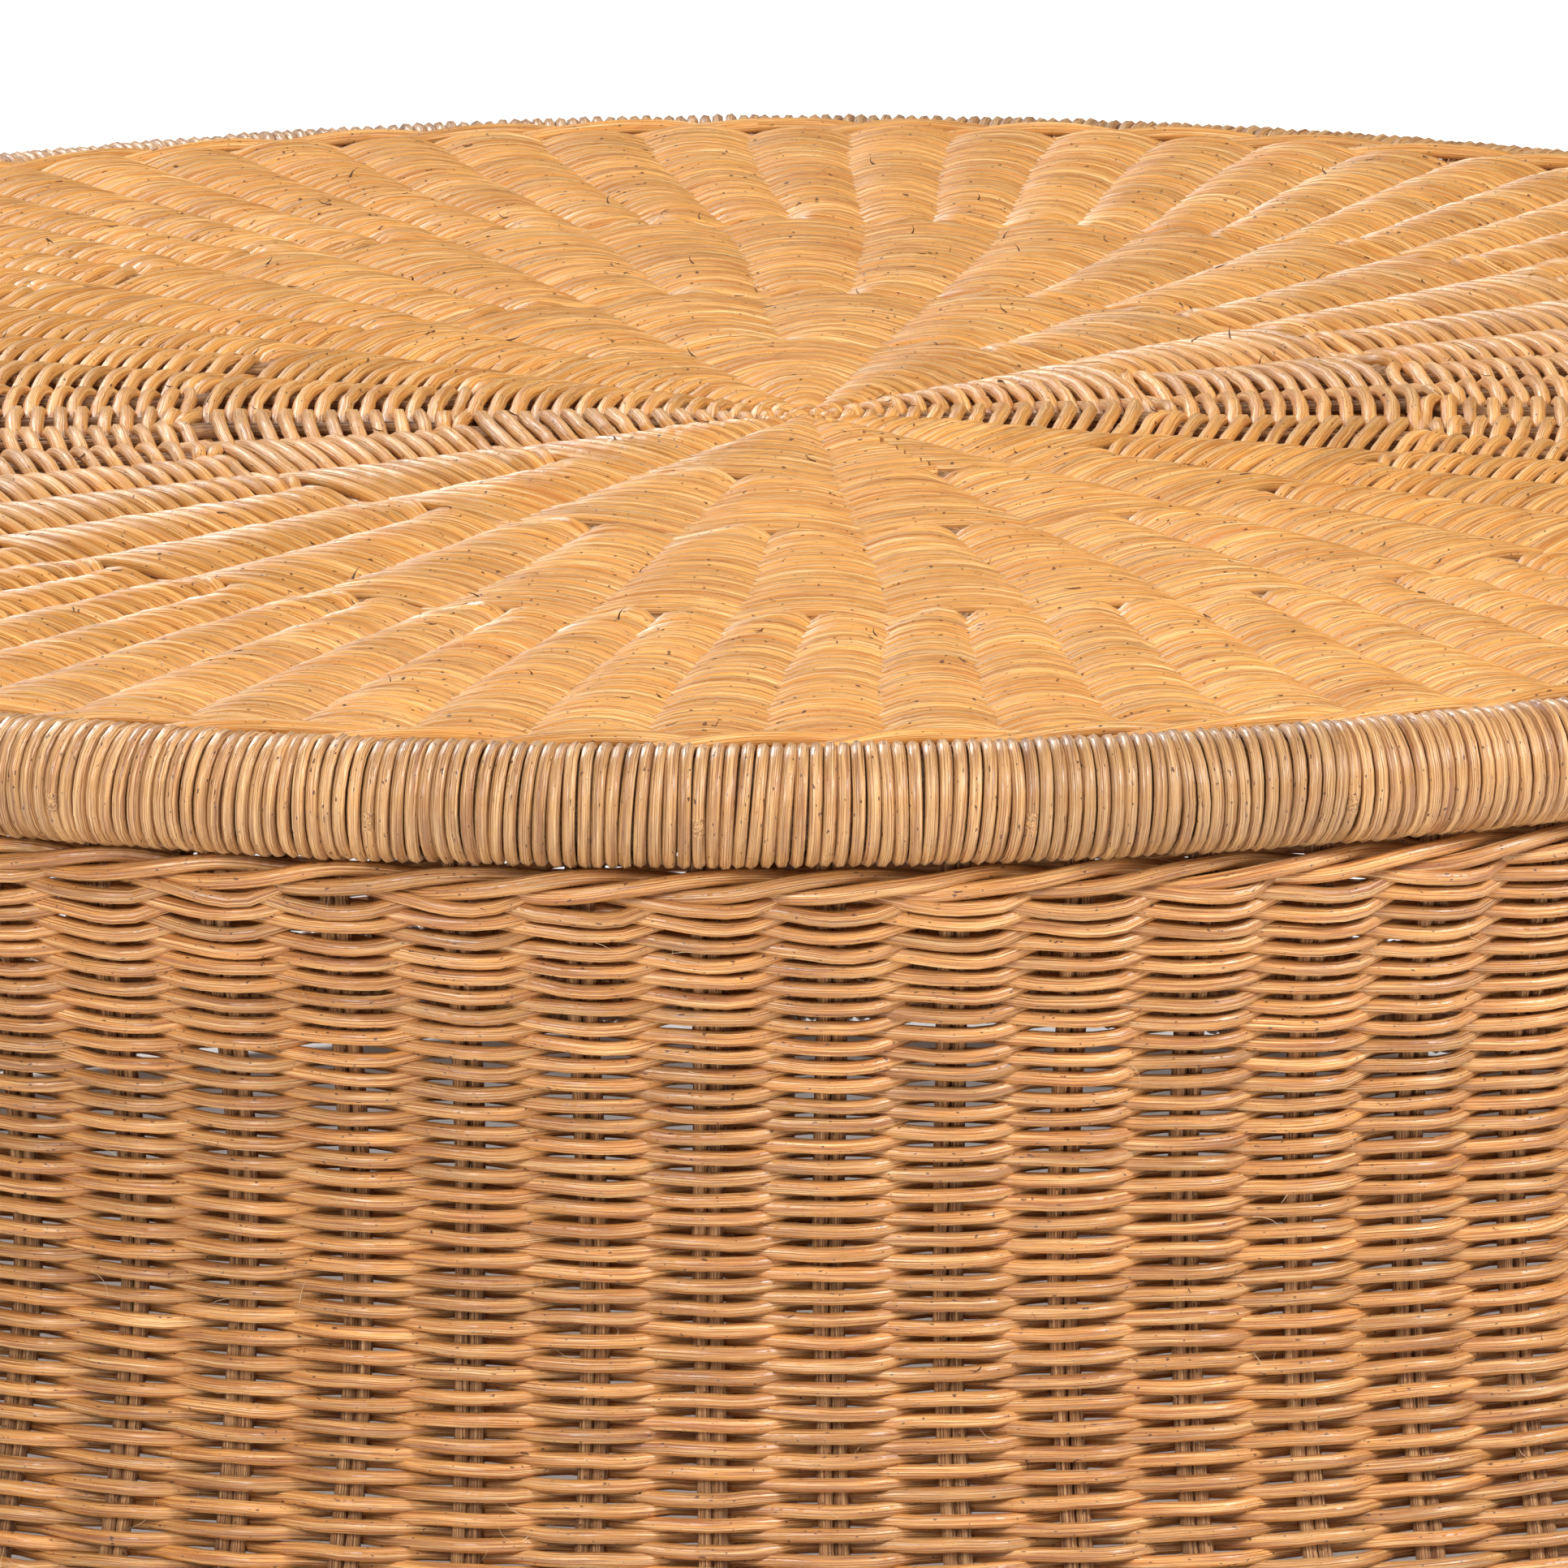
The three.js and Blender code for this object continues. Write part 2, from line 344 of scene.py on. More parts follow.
    def recall(self, name: str) -> Field:
        """Return a value kept on the geometry."""
        made = self.node("GeometryNodeInputNamedAttribute", data_type="FLOAT")
        made.inputs["Name"].default_value = name
        return Field(self, made.outputs[0])

    def place(self, position: Field) -> None:
        """Move every point to a position."""
        made = self.step(self.node("GeometryNodeSetPosition"))
        self.feed(made.inputs["Position"], position)

    def tube(self, radius: Number, sides: Number) -> None:
        """Turn the strands into round cane that knows its length and its girth.

        Args:
            radius: The cane's radius.
            sides: Sides of its section.
        """
        length = self.node("GeometryNodeSplineParameter")
        self.store("along", Field(self, length.outputs["Length"]))
        spine = self.geometry
        section = self.node("GeometryNodeCurvePrimitiveCircle", mode="RADIUS")
        section.inputs["Radius"].default_value = 1.0
        self.feed(section.inputs["Resolution"], sides)
        self.geometry = section.outputs[0]
        place = self.node("GeometryNodeInputPosition")
        self.store("across", Field(self, place.outputs[0]), "FLOAT_VECTOR")
        profile = self.geometry
        self.geometry = spine
        made = self.step(self.node("GeometryNodeCurveToMesh"))
        self.group.links.new(profile, made.inputs["Profile Curve"])
        self.feed(made.inputs["Scale"], radius)
        made.inputs["Fill Caps"].default_value = True
        self.step(self.node("GeometryNodeSetShadeSmooth"))

    def build(self, name: str, material: bpy.types.Material) -> bpy.types.Object:
        """Finish the tree and turn its result into a plain mesh.

        Args:
            name: The new object's name.
            material: The finish of every face.

        Returns:
            The object, at the origin and without the modifier.
        """
        self.step(self.node("GeometryNodeRealizeInstances"))
        self.step(self.node("GeometryNodeSetMaterial")).inputs["Material"].default_value = material
        self.group.links.new(self.geometry, self.exit.inputs[0])
        made = add_object(name, bpy.data.meshes.new(name))
        grower = made.modifiers.new("Grow", "NODES")
        for identifier, value in self.sizes.items():
            grower[identifier] = value
        grower.node_group = self.group
        for identifier, value in self.sizes.items():
            grower[identifier] = value
        graph = bpy.context.evaluated_depsgraph_get()
        graph.update()
        grown = made.evaluated_get(graph)
        mesh = bpy.data.meshes.new_from_object(grown, preserve_all_data_layers=True, depsgraph=graph)
        made.modifiers.remove(grower)
        made.data = mesh
        mesh.name = name
        return made


def add_object(name: str, data: bpy.types.ID) -> bpy.types.Object:
    """Add an object that shows some data to the scene, and return it."""
    made = bpy.data.objects.new(name, data)
    bpy.context.scene.collection.objects.link(made)
    return made


def settle(piece: bpy.types.Object, slot: Slot, *replaced: str) -> bpy.types.Object:
    """Tie a finished piece to the frame.

    Args:
        piece: The finished object.
        slot: The record's material slot for its finish. It is not used.
        *replaced: CAD nodes that it stands for.

    Returns:
        The piece.
    """
    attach(piece, BODY)
    if replaced:
        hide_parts(*replaced)
    faces = piece.data.polygons
    LOG.info("%s: %d triangles", piece.name, sum(len(face.vertices) - 2 for face in faces))
    return piece


# ---------------------------------------------------------------- finishes


class ShaderTree:
    """Short-hand for adding nodes to a shader tree or a shader group."""

    def __init__(self, tree: bpy.types.NodeTree) -> None:
        """Keep the tree."""
        self.tree = tree

    def node(self, kind: str, **settings: object) -> bpy.types.Node:
        """Add a node with its properties set, and return it."""
        made = self.tree.nodes.new(kind)
        for name, value in settings.items():
            setattr(made, name, value)
        return made

    def feed(self, socket: bpy.types.NodeSocket, value: object) -> None:
        """Link a socket to another socket, or set it to a constant."""
        if isinstance(value, bpy.types.NodeSocket):
            self.tree.links.new(value, socket)
        else:
            socket.default_value = value

    def math(self, operation: str, first: object, second: object = 0.0) -> bpy.types.NodeSocket:
        """Add a Math node and return its result."""
        made = self.node("ShaderNodeMath", operation=operation)
        self.feed(made.inputs[0], first)
        self.feed(made.inputs[1], second)
        return made.outputs[0]

    def plus(self, first: object, second: object) -> bpy.types.NodeSocket:
        """Return a sum."""
        return self.math("ADD", first, second)

    def times(self, first: object, second: object) -> bpy.types.NodeSocket:
        """Return a product."""
        return self.math("MULTIPLY", first, second)

    def attribute(self, name: str, output: str = "Fac") -> bpy.types.NodeSocket:
        """Return a value kept on the geometry."""
        return self.node("ShaderNodeAttribute", attribute_name=name).outputs[output]

    def range(
        self, value: object, low: float, high: float, to_low: float = 0.0, to_high: float = 1.0
    ) -> bpy.types.NodeSocket:
        """Map a value from one range to another and hold it inside the second.

        Args:
            value: The value.
            low: Where the first range starts.
            high: Where the first range ends.
            to_low: What its start becomes.
            to_high: What its end becomes.

        Returns:
            The mapped value.
        """
        made = self.node("ShaderNodeMapRange")
        self.feed(made.inputs["Value"], value)
        limits = {"From Min": low, "From Max": high, "To Min": to_low, "To Max": to_high}
        for name, number in limits.items():
            made.inputs[name].default_value = number
        return made.outputs["Result"]

    def noise(self, place: bpy.types.NodeSocket, scale: float, detail: float) -> bpy.types.NodeSocket:
        """Return noise between 0 and 1 at a place."""
        made = self.node("ShaderNodeTexNoise", noise_dimensions="3D")
        self.feed(made.inputs["Vector"], place)
        made.inputs["Scale"].default_value = scale
        made.inputs["Detail"].default_value = detail
        return made.outputs[0]

    def vector(self, x: object, y: object, z: object) -> bpy.types.NodeSocket:
        """Return a vector of three values."""
        made = self.node("ShaderNodeCombineXYZ")
        for socket, value in zip(made.inputs, (x, y, z)):
            self.feed(socket, value)
        return made.outputs[0]

    def mix(
        self, share: object, first: object, second: object, blend: str = "MIX"
    ) -> bpy.types.NodeSocket:
        """Blend two colours.

        Args:
            share: The second colour's share, from 0 to 1.
            first: The first colour.
            second: The second colour.
            blend: The node's blend type.

        Returns:
            The blend.
        """
        made = self.node("ShaderNodeMix", data_type="RGBA", blend_type=blend)
        colours = [s for s in made.inputs if s.type == "RGBA"]
        self.feed(made.inputs[0], share)
        self.feed(colours[0], first)
        self.feed(colours[1], second)
        return [s for s in made.outputs if s.type == "RGBA"][0]

    def bump(
        self, height: bpy.types.NodeSocket, strength: float, distance: float
    ) -> bpy.types.NodeSocket:
        """Return the normal of a surface raised by a height."""
        made = self.node("ShaderNodeBump")
        made.inputs["Strength"].default_value = strength
        made.inputs["Distance"].default_value = distance
        self.feed(made.inputs["Height"], height)
        return made.outputs[0]

    def group(self, made: bpy.types.NodeTree, **values: object) -> bpy.types.Node:
        """Place a node group with its inputs set, and return its node."""
        placed = self.node("ShaderNodeGroup", node_tree=made)
        for name, value in values.items():
            self.feed(placed.inputs[name.replace("_", " ")], value)
        return placed


def new_material(name: str) -> tuple[bpy.types.Material, ShaderTree, bpy.types.Node]:
    """Return a new material with its tree and its Principled BSDF node."""
    made = bpy.data.materials.new(name)
    made.use_nodes = True
    return made, ShaderTree(made.node_tree), made.node_tree.nodes["Principled BSDF"]


def linear(colour: Colour) -> tuple[float, float, float, float]:
    """Return a colour given in display values from 0 to 255 as scene-linear values."""
    scaled = [part / 255 for part in colour]
    lit = [part / 12.92 if part <= 0.04045 else ((part + 0.055) / 1.055) ** 2.4 for part in scaled]
    return (*lit, 1.0)


def cane_grain() -> bpy.types.NodeTree:
    """Build the shader group that all cane shares: fibre streaks, patches, nicks and tone by strand.

    Returns:
        A group with inputs Body, Dark, Pale, Streaks, Nicks and Spread, and outputs Colour, Height,
        Dullness and Sheen, which is where the lacquer still lies on the fibres.
    """
    group = bpy.data.node_groups.new("cane_grain", "ShaderNodeTree")
    sockets = (
        ("INPUT", "NodeSocketColor", ("Body", "Dark", "Pale")),
        ("INPUT", "NodeSocketFloat", ("Streaks", "Nicks", "Spread")),
        ("OUTPUT", "NodeSocketColor", ("Colour",)),
        ("OUTPUT", "NodeSocketFloat", ("Height", "Dullness", "Sheen")),
    )
    for way, kind, names in sockets:
        for name in names:
            group.interface.new_socket(name, in_out=way, socket_type=kind)
    tree = ShaderTree(group)
    entry = tree.node("NodeGroupInput").outputs
    leave = tree.node("NodeGroupOutput").inputs
    strand = tree.attribute("strand")
    along = tree.attribute("along")
    around = tree.node("ShaderNodeSeparateXYZ")
    tree.feed(around.inputs[0], tree.attribute("across", "Vector"))
    # Each strand reads the noise at a place of its own.
    own = tree.times(strand, 7.31)

    def fibre(length: float, width: float, detail: float) -> bpy.types.NodeSocket:
        """Return noise drawn out along the cane, with grains per metre and per girth."""
        place = tree.vector(
            tree.plus(tree.times(along, length), own),
            tree.times(around.outputs[0], width),
            tree.plus(tree.times(around.outputs[1], width), own),
        )
        return tree.noise(place, 1.0, detail)

    bands = fibre(18.0, 1.2, 3.0)
    threads = fibre(26.0, 7.5, 3.0)
    hairs = fibre(85.0, 17.0, 2.0)
    scars = fibre(420.0, 2.2, 1.0)
    patches = fibre(9.0, 0.25, 2.0)

    # Below, each range gives the two noise levels between which a mark comes in.
    darker = tree.times(tree.range(bands, 0.5, 0.74), entry["Streaks"])
    lines = tree.times(tree.range(threads, 0.52, 0.62), entry["Streaks"])
    fine = tree.times(tree.range(hairs, 0.53, 0.62), entry["Streaks"])
    stain = tree.times(tree.range(patches, 0.6, 0.78), entry["Nicks"])
    nick = tree.times(tree.range(scars, 0.7, 0.76), entry["Nicks"])
    colour = tree.mix(tree.range(threads, 0.47, 0.34), entry["Body"], entry["Pale"])
    colour = tree.mix(darker, colour, entry["Dark"])
    colour = tree.mix(tree.times(stain, 0.45), colour, entry["Dark"])
    colour = tree.mix(lines, colour, entry["Dark"])
    colour = tree.mix(tree.times(fine, 0.6), colour, linear(FIBRE_SHADE))

    tone = tree.node("ShaderNodeTexWhiteNoise", noise_dimensions="1D")
    tree.feed(tone.inputs["W"], tree.math("ROUND", strand))
    lengths = tree.plus(tree.times(tone.outputs[0], 0.6), tree.times(patches, 0.8))
    shift = tree.times(tree.range(lengths, 0.35, 1.05, -1.0, 1.0), entry["Spread"])
    level = tree.plus(1.0, shift)
    colour = tree.mix(1.0, colour, tree.vector(level, level, level), "MULTIPLY")
    colour = tree.mix(nick, colour, linear(NICK_SHADE))
    growth = tree.attribute("ring")
    colour = tree.mix(tree.times(growth, 0.7), colour, entry["Dark"])
    tree.feed(leave["Colour"], colour)

    relief = tree.plus(tree.times(threads, 0.7), tree.times(hairs, 0.3))
    tree.feed(leave["Height"], tree.math("SUBTRACT", relief, tree.times(nick, 0.6)))
    tree.feed(leave["Dullness"], tree.plus(tree.times(hairs, 0.5), patches))
    film = tree.times(tree.range(hairs, 0.4, 0.5), tree.range(scars, 0.34, 0.46))
    tree.feed(leave["Sheen"], film)
    return group


@dataclass(frozen=True)
class CaneFinish:
    """Peeled rattan core, bare or under a thin clear lacquer. Colours are display values.

    Streaks, nicks and relief set how strongly the grain, the nicks and the fibres show. Spread is
    how far the strands differ in tone, and gloss is the roughness of the smoothest parts.
    """

    name: str
    body: Colour
    dark: Colour
    pale: Colour
    streaks: float = 0.7
    nicks: float = 0.5
    spread: float = 0.14
    gloss: float = 0.42
    lacquer: float = 0.3
    shine: float = 0.5
    relief: float = 0.5

    def material(self, grain: bpy.types.NodeTree) -> bpy.types.Material:
        """Build the material.

        Args:
            grain: The shared cane_grain group.

        Returns:
            The material.
        """
        made, tree, shader = new_material(self.name)
        look = tree.group(
            grain,
            Body=linear(self.body),
            Dark=linear(self.dark),
            Pale=linear(self.pale),
            Streaks=self.streaks,
            Nicks=self.nicks,
            Spread=self.spread,
        )
        tree.feed(shader.inputs["Base Color"], look.outputs["Colour"])
        rough = tree.range(look.outputs["Dullness"], 0.4, 1.1, self.gloss - 0.08, self.gloss + 0.22)
        tree.feed(shader.inputs["Roughness"], rough)
        normal = tree.bump(look.outputs["Height"], self.relief, CANE_RELIEF)
        tree.feed(shader.inputs["Normal"], normal)
        shader.inputs["Specular IOR Level"].default_value = self.shine
        if self.lacquer > 0:
            tree.feed(shader.inputs["Coat Weight"], tree.times(look.outputs["Sheen"], self.lacquer))
            shader.inputs["Coat Roughness"].default_value = LACQUER_ROUGHNESS
        return made


@dataclass(frozen=True)
class RubberFinish:
    """Moulded grey rubber with a fine grain and scuffs."""

    name: str = "glide_rubber"
    body: Colour = (92, 86, 80)
    scuffed: Colour = (132, 124, 114)
    smooth: float = 0.62
    rough: float = 0.85

    def material(self) -> bpy.types.Material:
        """Build the material and return it."""
        made, tree, shader = new_material(self.name)
        place = tree.node("ShaderNodeTexCoord").outputs["Object"]
        scuffs = tree.range(tree.noise(place, 90.0, 4.0), 0.5, 0.7)
        colour = tree.mix(scuffs, linear(self.body), linear(self.scuffed))
        tree.feed(shader.inputs["Base Color"], colour)
        tree.feed(shader.inputs["Roughness"], tree.range(scuffs, 0.0, 1.0, self.smooth, self.rough))
        grain = tree.noise(place, 1400.0, 2.0)
        tree.feed(shader.inputs["Normal"], tree.bump(grain, 0.3, 0.2 * MM))
        return made


TOP_FINISH = CaneFinish(
    "top_cane",
    (231, 165, 82),
    (182, 110, 46),
    (248, 208, 148),
    streaks=0.65,
    nicks=0.9,
    spread=0.13,
    gloss=0.36,
    lacquer=0.3,
    shine=0.45,
    relief=0.8,
)
SIDE_FINISH = CaneFinish(
    "side_cane",
    (220, 152, 77),
    (150, 82, 34),
    (246, 206, 148),
    streaks=0.85,
    nicks=0.9,
    spread=0.19,
    gloss=0.3,
    lacquer=1.0,
    shine=0.6,
    relief=0.8,
)
WRAP_FINISH = CaneFinish(
    "wrap_cane",
    (216, 163, 102),
    (142, 84, 42),
    (240, 198, 144),
    streaks=0.9,
    nicks=1.0,
    spread=0.13,
    gloss=0.34,
    lacquer=0.7,
    shine=0.6,
    relief=0.9,
)
STAKE_FINISH = CaneFinish(
    "stake_cane",
    (184, 134, 86),
    (98, 58, 30),
    (220, 178, 128),
    streaks=1.0,
    nicks=0.8,
    spread=0.2,
    gloss=0.6,
    lacquer=0.0,
    relief=0.9,
)
POLE_FINISH = CaneFinish(
    "rattan_pole",
    (204, 150, 92),
    (150, 96, 52),
    (228, 182, 122),
    streaks=0.8,
    nicks=0.7,
    spread=0.12,
    gloss=0.4,
)
HAIR_FINISH = CaneFinish(
    "cane_hair",
    (240, 210, 164),
    (196, 150, 98),
    (250, 228, 190),
    streaks=0.5,
    nicks=0.0,
    gloss=0.5,
    lacquer=0.0,
)
SPLINTER_FINISH = CaneFinish(
    "cane_splinter",
    (84, 46, 22),
    (48, 24, 10),
    (128, 80, 42),
    streaks=0.8,
    nicks=0.0,
    gloss=0.6,
    lacquer=0.0,
)
BINDING_FINISH = CaneFinish(
    "binding_cane",
    (222, 176, 116),
    (178, 124, 70),
    (240, 202, 148),
    streaks=0.6,
    nicks=0.5,
    spread=0.16,
    gloss=0.32,
)


# ---------------------------------------------------------------- the woven side


@dataclass
class SideWeave:
    """Plain weave over pairs of stakes, on a wall that draws in to a waist.

    Packing crowds the rows towards the top. Droop is how far a cane hangs lower where it passes
    outside a stake. Skew makes it come out gently and dive back steeply. The wander of a row is
    drift that its neighbours share and flutter of its own, both in millimetres.
    """

    rows: int = 67
    cane: float = 5.15 * MM
    stake: float = 5.4 * MM
    stake_gap: float = 5.1 * MM
    sway: float = 4.8 * MM
    skin: float = 7.3 * MM
    waist: float = 28 * MM
    packing: float = 0.1
    bottom_droop: float = -0.9 * MM
    top_droop: float = 2.5 * MM
    droop_rows: float = 26.0
    flatness: float = 0.95
    skew: float = 0.42
    drift: float = 1.3
    flutter: float = 0.9
    points_per_stake: int = 6
    sides: int = 7
    stake_foot: float = 42 * MM
    stake_head: float = 322 * MM
    stake_points: int = 36
    stake_sides: int = 8
    tuck: float = 3 * MM
    tuck_run: float = 14 * MM

    def __post_init__(self) -> None:
        """Read the wall's place from the frame."""
        low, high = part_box("side_weave")
        self.bottom = low.z
        self.top = high.z
        self.face = high.x

    def wall(self, tree: Tree, height: Number) -> Field:
        """Return the radius of the middle of the wall at a height."""
        share = (height - self.bottom) / (self.top - self.bottom)
        share = tree.clamp(share, 0.0, 1.0)
        return self.face - self.skin - share * (1.0 - share) * (4 * self.waist)

    def section(self, first: int, count: int, name: str, finish: bpy.types.Material) -> bpy.types.Object:
        """Weave some rows.

        Args:
            first: The first row's number, from the top.
            count: How many rows.
            name: The piece's name.
            finish: The cane's material.

        Returns:
            The woven piece.
        """
        tree = Tree(name)
        cane = tree.size("Cane Diameter", self.cane)
        sway = tree.size("Sway", self.sway)
        start = tree.size("First Row", first)
        points = STAKES * self.points_per_stake + 1
        row, share = tree.strands(tree.size("Rows", count), points, start)
        # Each row's ends meet at a stake drawn for that row.
        joint = tree.math("FLOOR", tree.random(row, 0.0, STAKES / 2, 3)) * 2.0 - row
        stake = share * float(STAKES) + joint + 1.0
        angle = (stake + 0.5) * STAKE_STEP + FIRST_STAKE_LINE
        turn = (stake + row) * math.pi
        beat = tree.cos(turn - tree.cos(turn) * self.skew)
        passing = tree.flattened(beat, self.flatness)
        loose = tree.ring_noise(angle, 9.0, row * 0.31 + 3.7, 1.0)
        nudge = tree.ring_noise(angle, 30.0, row * 3.17, 1.0)
        down = (row - 0.4) / (self.rows - 1.0)
        down = down * (1.0 - self.packing) + down * down * self.packing
        fade = tree.math("EXPONENT", row * (-1 / self.droop_rows))
        sag = fade * (self.top_droop - self.bottom_droop) + self.bottom_droop
        sag = sag * (1.0 + tree.ring_noise(angle, 16.0, row * 0.9 + 11.0) * 0.7)
        height = self.top - down * (self.top - self.bottom)
        height = height - passing * sag + (loose * self.drift + nudge * self.flutter) * MM
        depth = sway * (1.0 + nudge * 0.16) * passing
        wander = tree.ring_noise(angle, 22.0, row * 5.3 + 1.0) * 0.5 * MM
        tree.place(tree.polar(self.wall(tree, height) + depth + wander, angle, height))
        girth = 1.0 + tree.ring_noise(angle, 2.5, row * 2.3 + 40.0) * 0.12
        girth = girth + tree.random(row, -0.05, 0.06, 5)
        tree.tube(cane * 0.5 * girth, self.sides)
        return tree.build(name, finish)

    def stakes(self, finish: bpy.types.Material) -> bpy.types.Object:
        """Stand the pairs of stakes in the wall, with both ends tucked in behind the wales.

        Args:
            finish: The stakes' material.

        Returns:
            All the stakes as one piece.
        """
        tree = Tree("side_stakes")
        stake = tree.size("Stake Diameter", self.stake)
        gap = tree.size("Stake Gap", self.stake_gap)
        number, share = tree.strands(tree.size("Stakes", 2 * STAKES), self.stake_points)
        pair, side = tree.pairs(number)
        height = share * (self.stake_head - self.stake_foot) + self.stake_foot
        lean = tree.noise(height * 9.0, pair * 1.7, 2.0) * 2.2 * MM
        part = 1.0 + tree.noise(height * 20.0, number * 1.3, 5.0) * 0.12
        line = (pair + 0.5) * STAKE_STEP + FIRST_STAKE_LINE
        radius = self.wall(tree, height) + tree.noise(height * 16.0, number * 2.1, 9.0) * 0.7 * MM
        above = tree.ease(height, self.top - self.tuck_run, self.top)
        below = 1.0 - tree.ease(height, self.bottom, self.bottom + self.tuck_run)
        radius = radius - (above + below) * self.tuck
        angle = line + (side * gap * 0.5 * part + lean) / radius
        tree.place(tree.polar(radius, angle, height))
        girth = 1.0 + tree.noise(height * 30.0, number * 3.3, 1.0) * 0.1
        tree.tube(stake * 0.5 * girth, self.stake_sides)
        return tree.build("side_stakes", finish)

    def make(self, canes: bpy.types.Material, uprights: bpy.types.Material) -> list[bpy.types.Object]:
        """Weave the wall.

        Args:
            canes: The weavers' material.
            uprights: The stakes' material.

        Returns:
            The woven rows, from the top, in three pieces.
        """
        names = ("upper", "middle", "lower")
        first = 0
        rows = []
        for order, name in enumerate(names, 1):
            last = round(self.rows * order / len(names))
            piece = self.section(first, last - first, f"side_rows_{name}", canes)
            rows.append(settle(piece, Slot.SIDE, "side_weave"))
            first = last
        settle(self.stakes(uprights), Slot.SIDE, "side_weave")
        return rows


@dataclass
class Wale:
    """Three rods twisted round the stakes as one rope, standing in the wall or lying on the top.

    Depth and rise are the half sizes of the twist, out from the face and along it. Span is how
    many stakes a rod needs for one turn of it.
    """

    node: str
    rods: int = 3
    cane: float = 5.6 * MM
    depth: float = 5.0 * MM
    rise: float = 3.4 * MM
    span: float = 3.0
    points_per_stake: int = 8
    sides: int = 8
    lying: bool = False

    def make(self, finish: bpy.types.Material, slot: Slot) -> None:
        """Twist the rods.

        Args:
            finish: The cane's material.
            slot: The record's material slot.
        """
        low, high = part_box(self.node)
        middle_height = (low.z + high.z) / 2
        middle_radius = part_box("upper_wale")[1].x - self.depth - self.cane / 2
        tree = Tree(self.node)
        cane = tree.size("Cane Diameter", self.cane)
        depth = tree.size("Depth", self.depth)
        rise = tree.size("Rise", self.rise)
        points = STAKES * self.points_per_stake + 1
        number, share = tree.strands(tree.size("Rods", self.rods), points)
        angle = share * TURN + math.pi
        twist = (share * float(STAKES) + number * (self.span / self.rods)) * (TURN / self.span)
        around = twist + tree.noise(share * 61.0, number * 3.0, 4.0) * 0.5
        front = tree.cos(around)
        across = tree.sin(around)
        wobble = tree.noise(share * 140.0, number * 7.0, 1.0) * 0.7 * MM
        if self.lying:
            middle = high.x - self.rise - self.cane / 2
            radius = middle - across * rise + wobble
            height = high.z - self.depth - self.cane / 2 + front * depth
        else:
            radius = middle_radius + front * depth
            height = middle_height + across * rise + wobble
        tree.place(tree.polar(radius, angle, height))
        girth = 1.0 + tree.noise(share * 40.0, number * 5.0, 8.0) * 0.14
        tree.tube(cane * 0.5 * girth, self.sides)
        settle(tree.build(self.node + "_rods", finish), slot, self.node)


# ---------------------------------------------------------------- the woven top


@dataclass(frozen=True)
class Band:
    """A ring of the top with one number of spokes, which may part in two at its inner edge."""

    name: str
    spokes: int
    inner: float
    outer: float
    points_per_spoke: int
    parted: bool = True


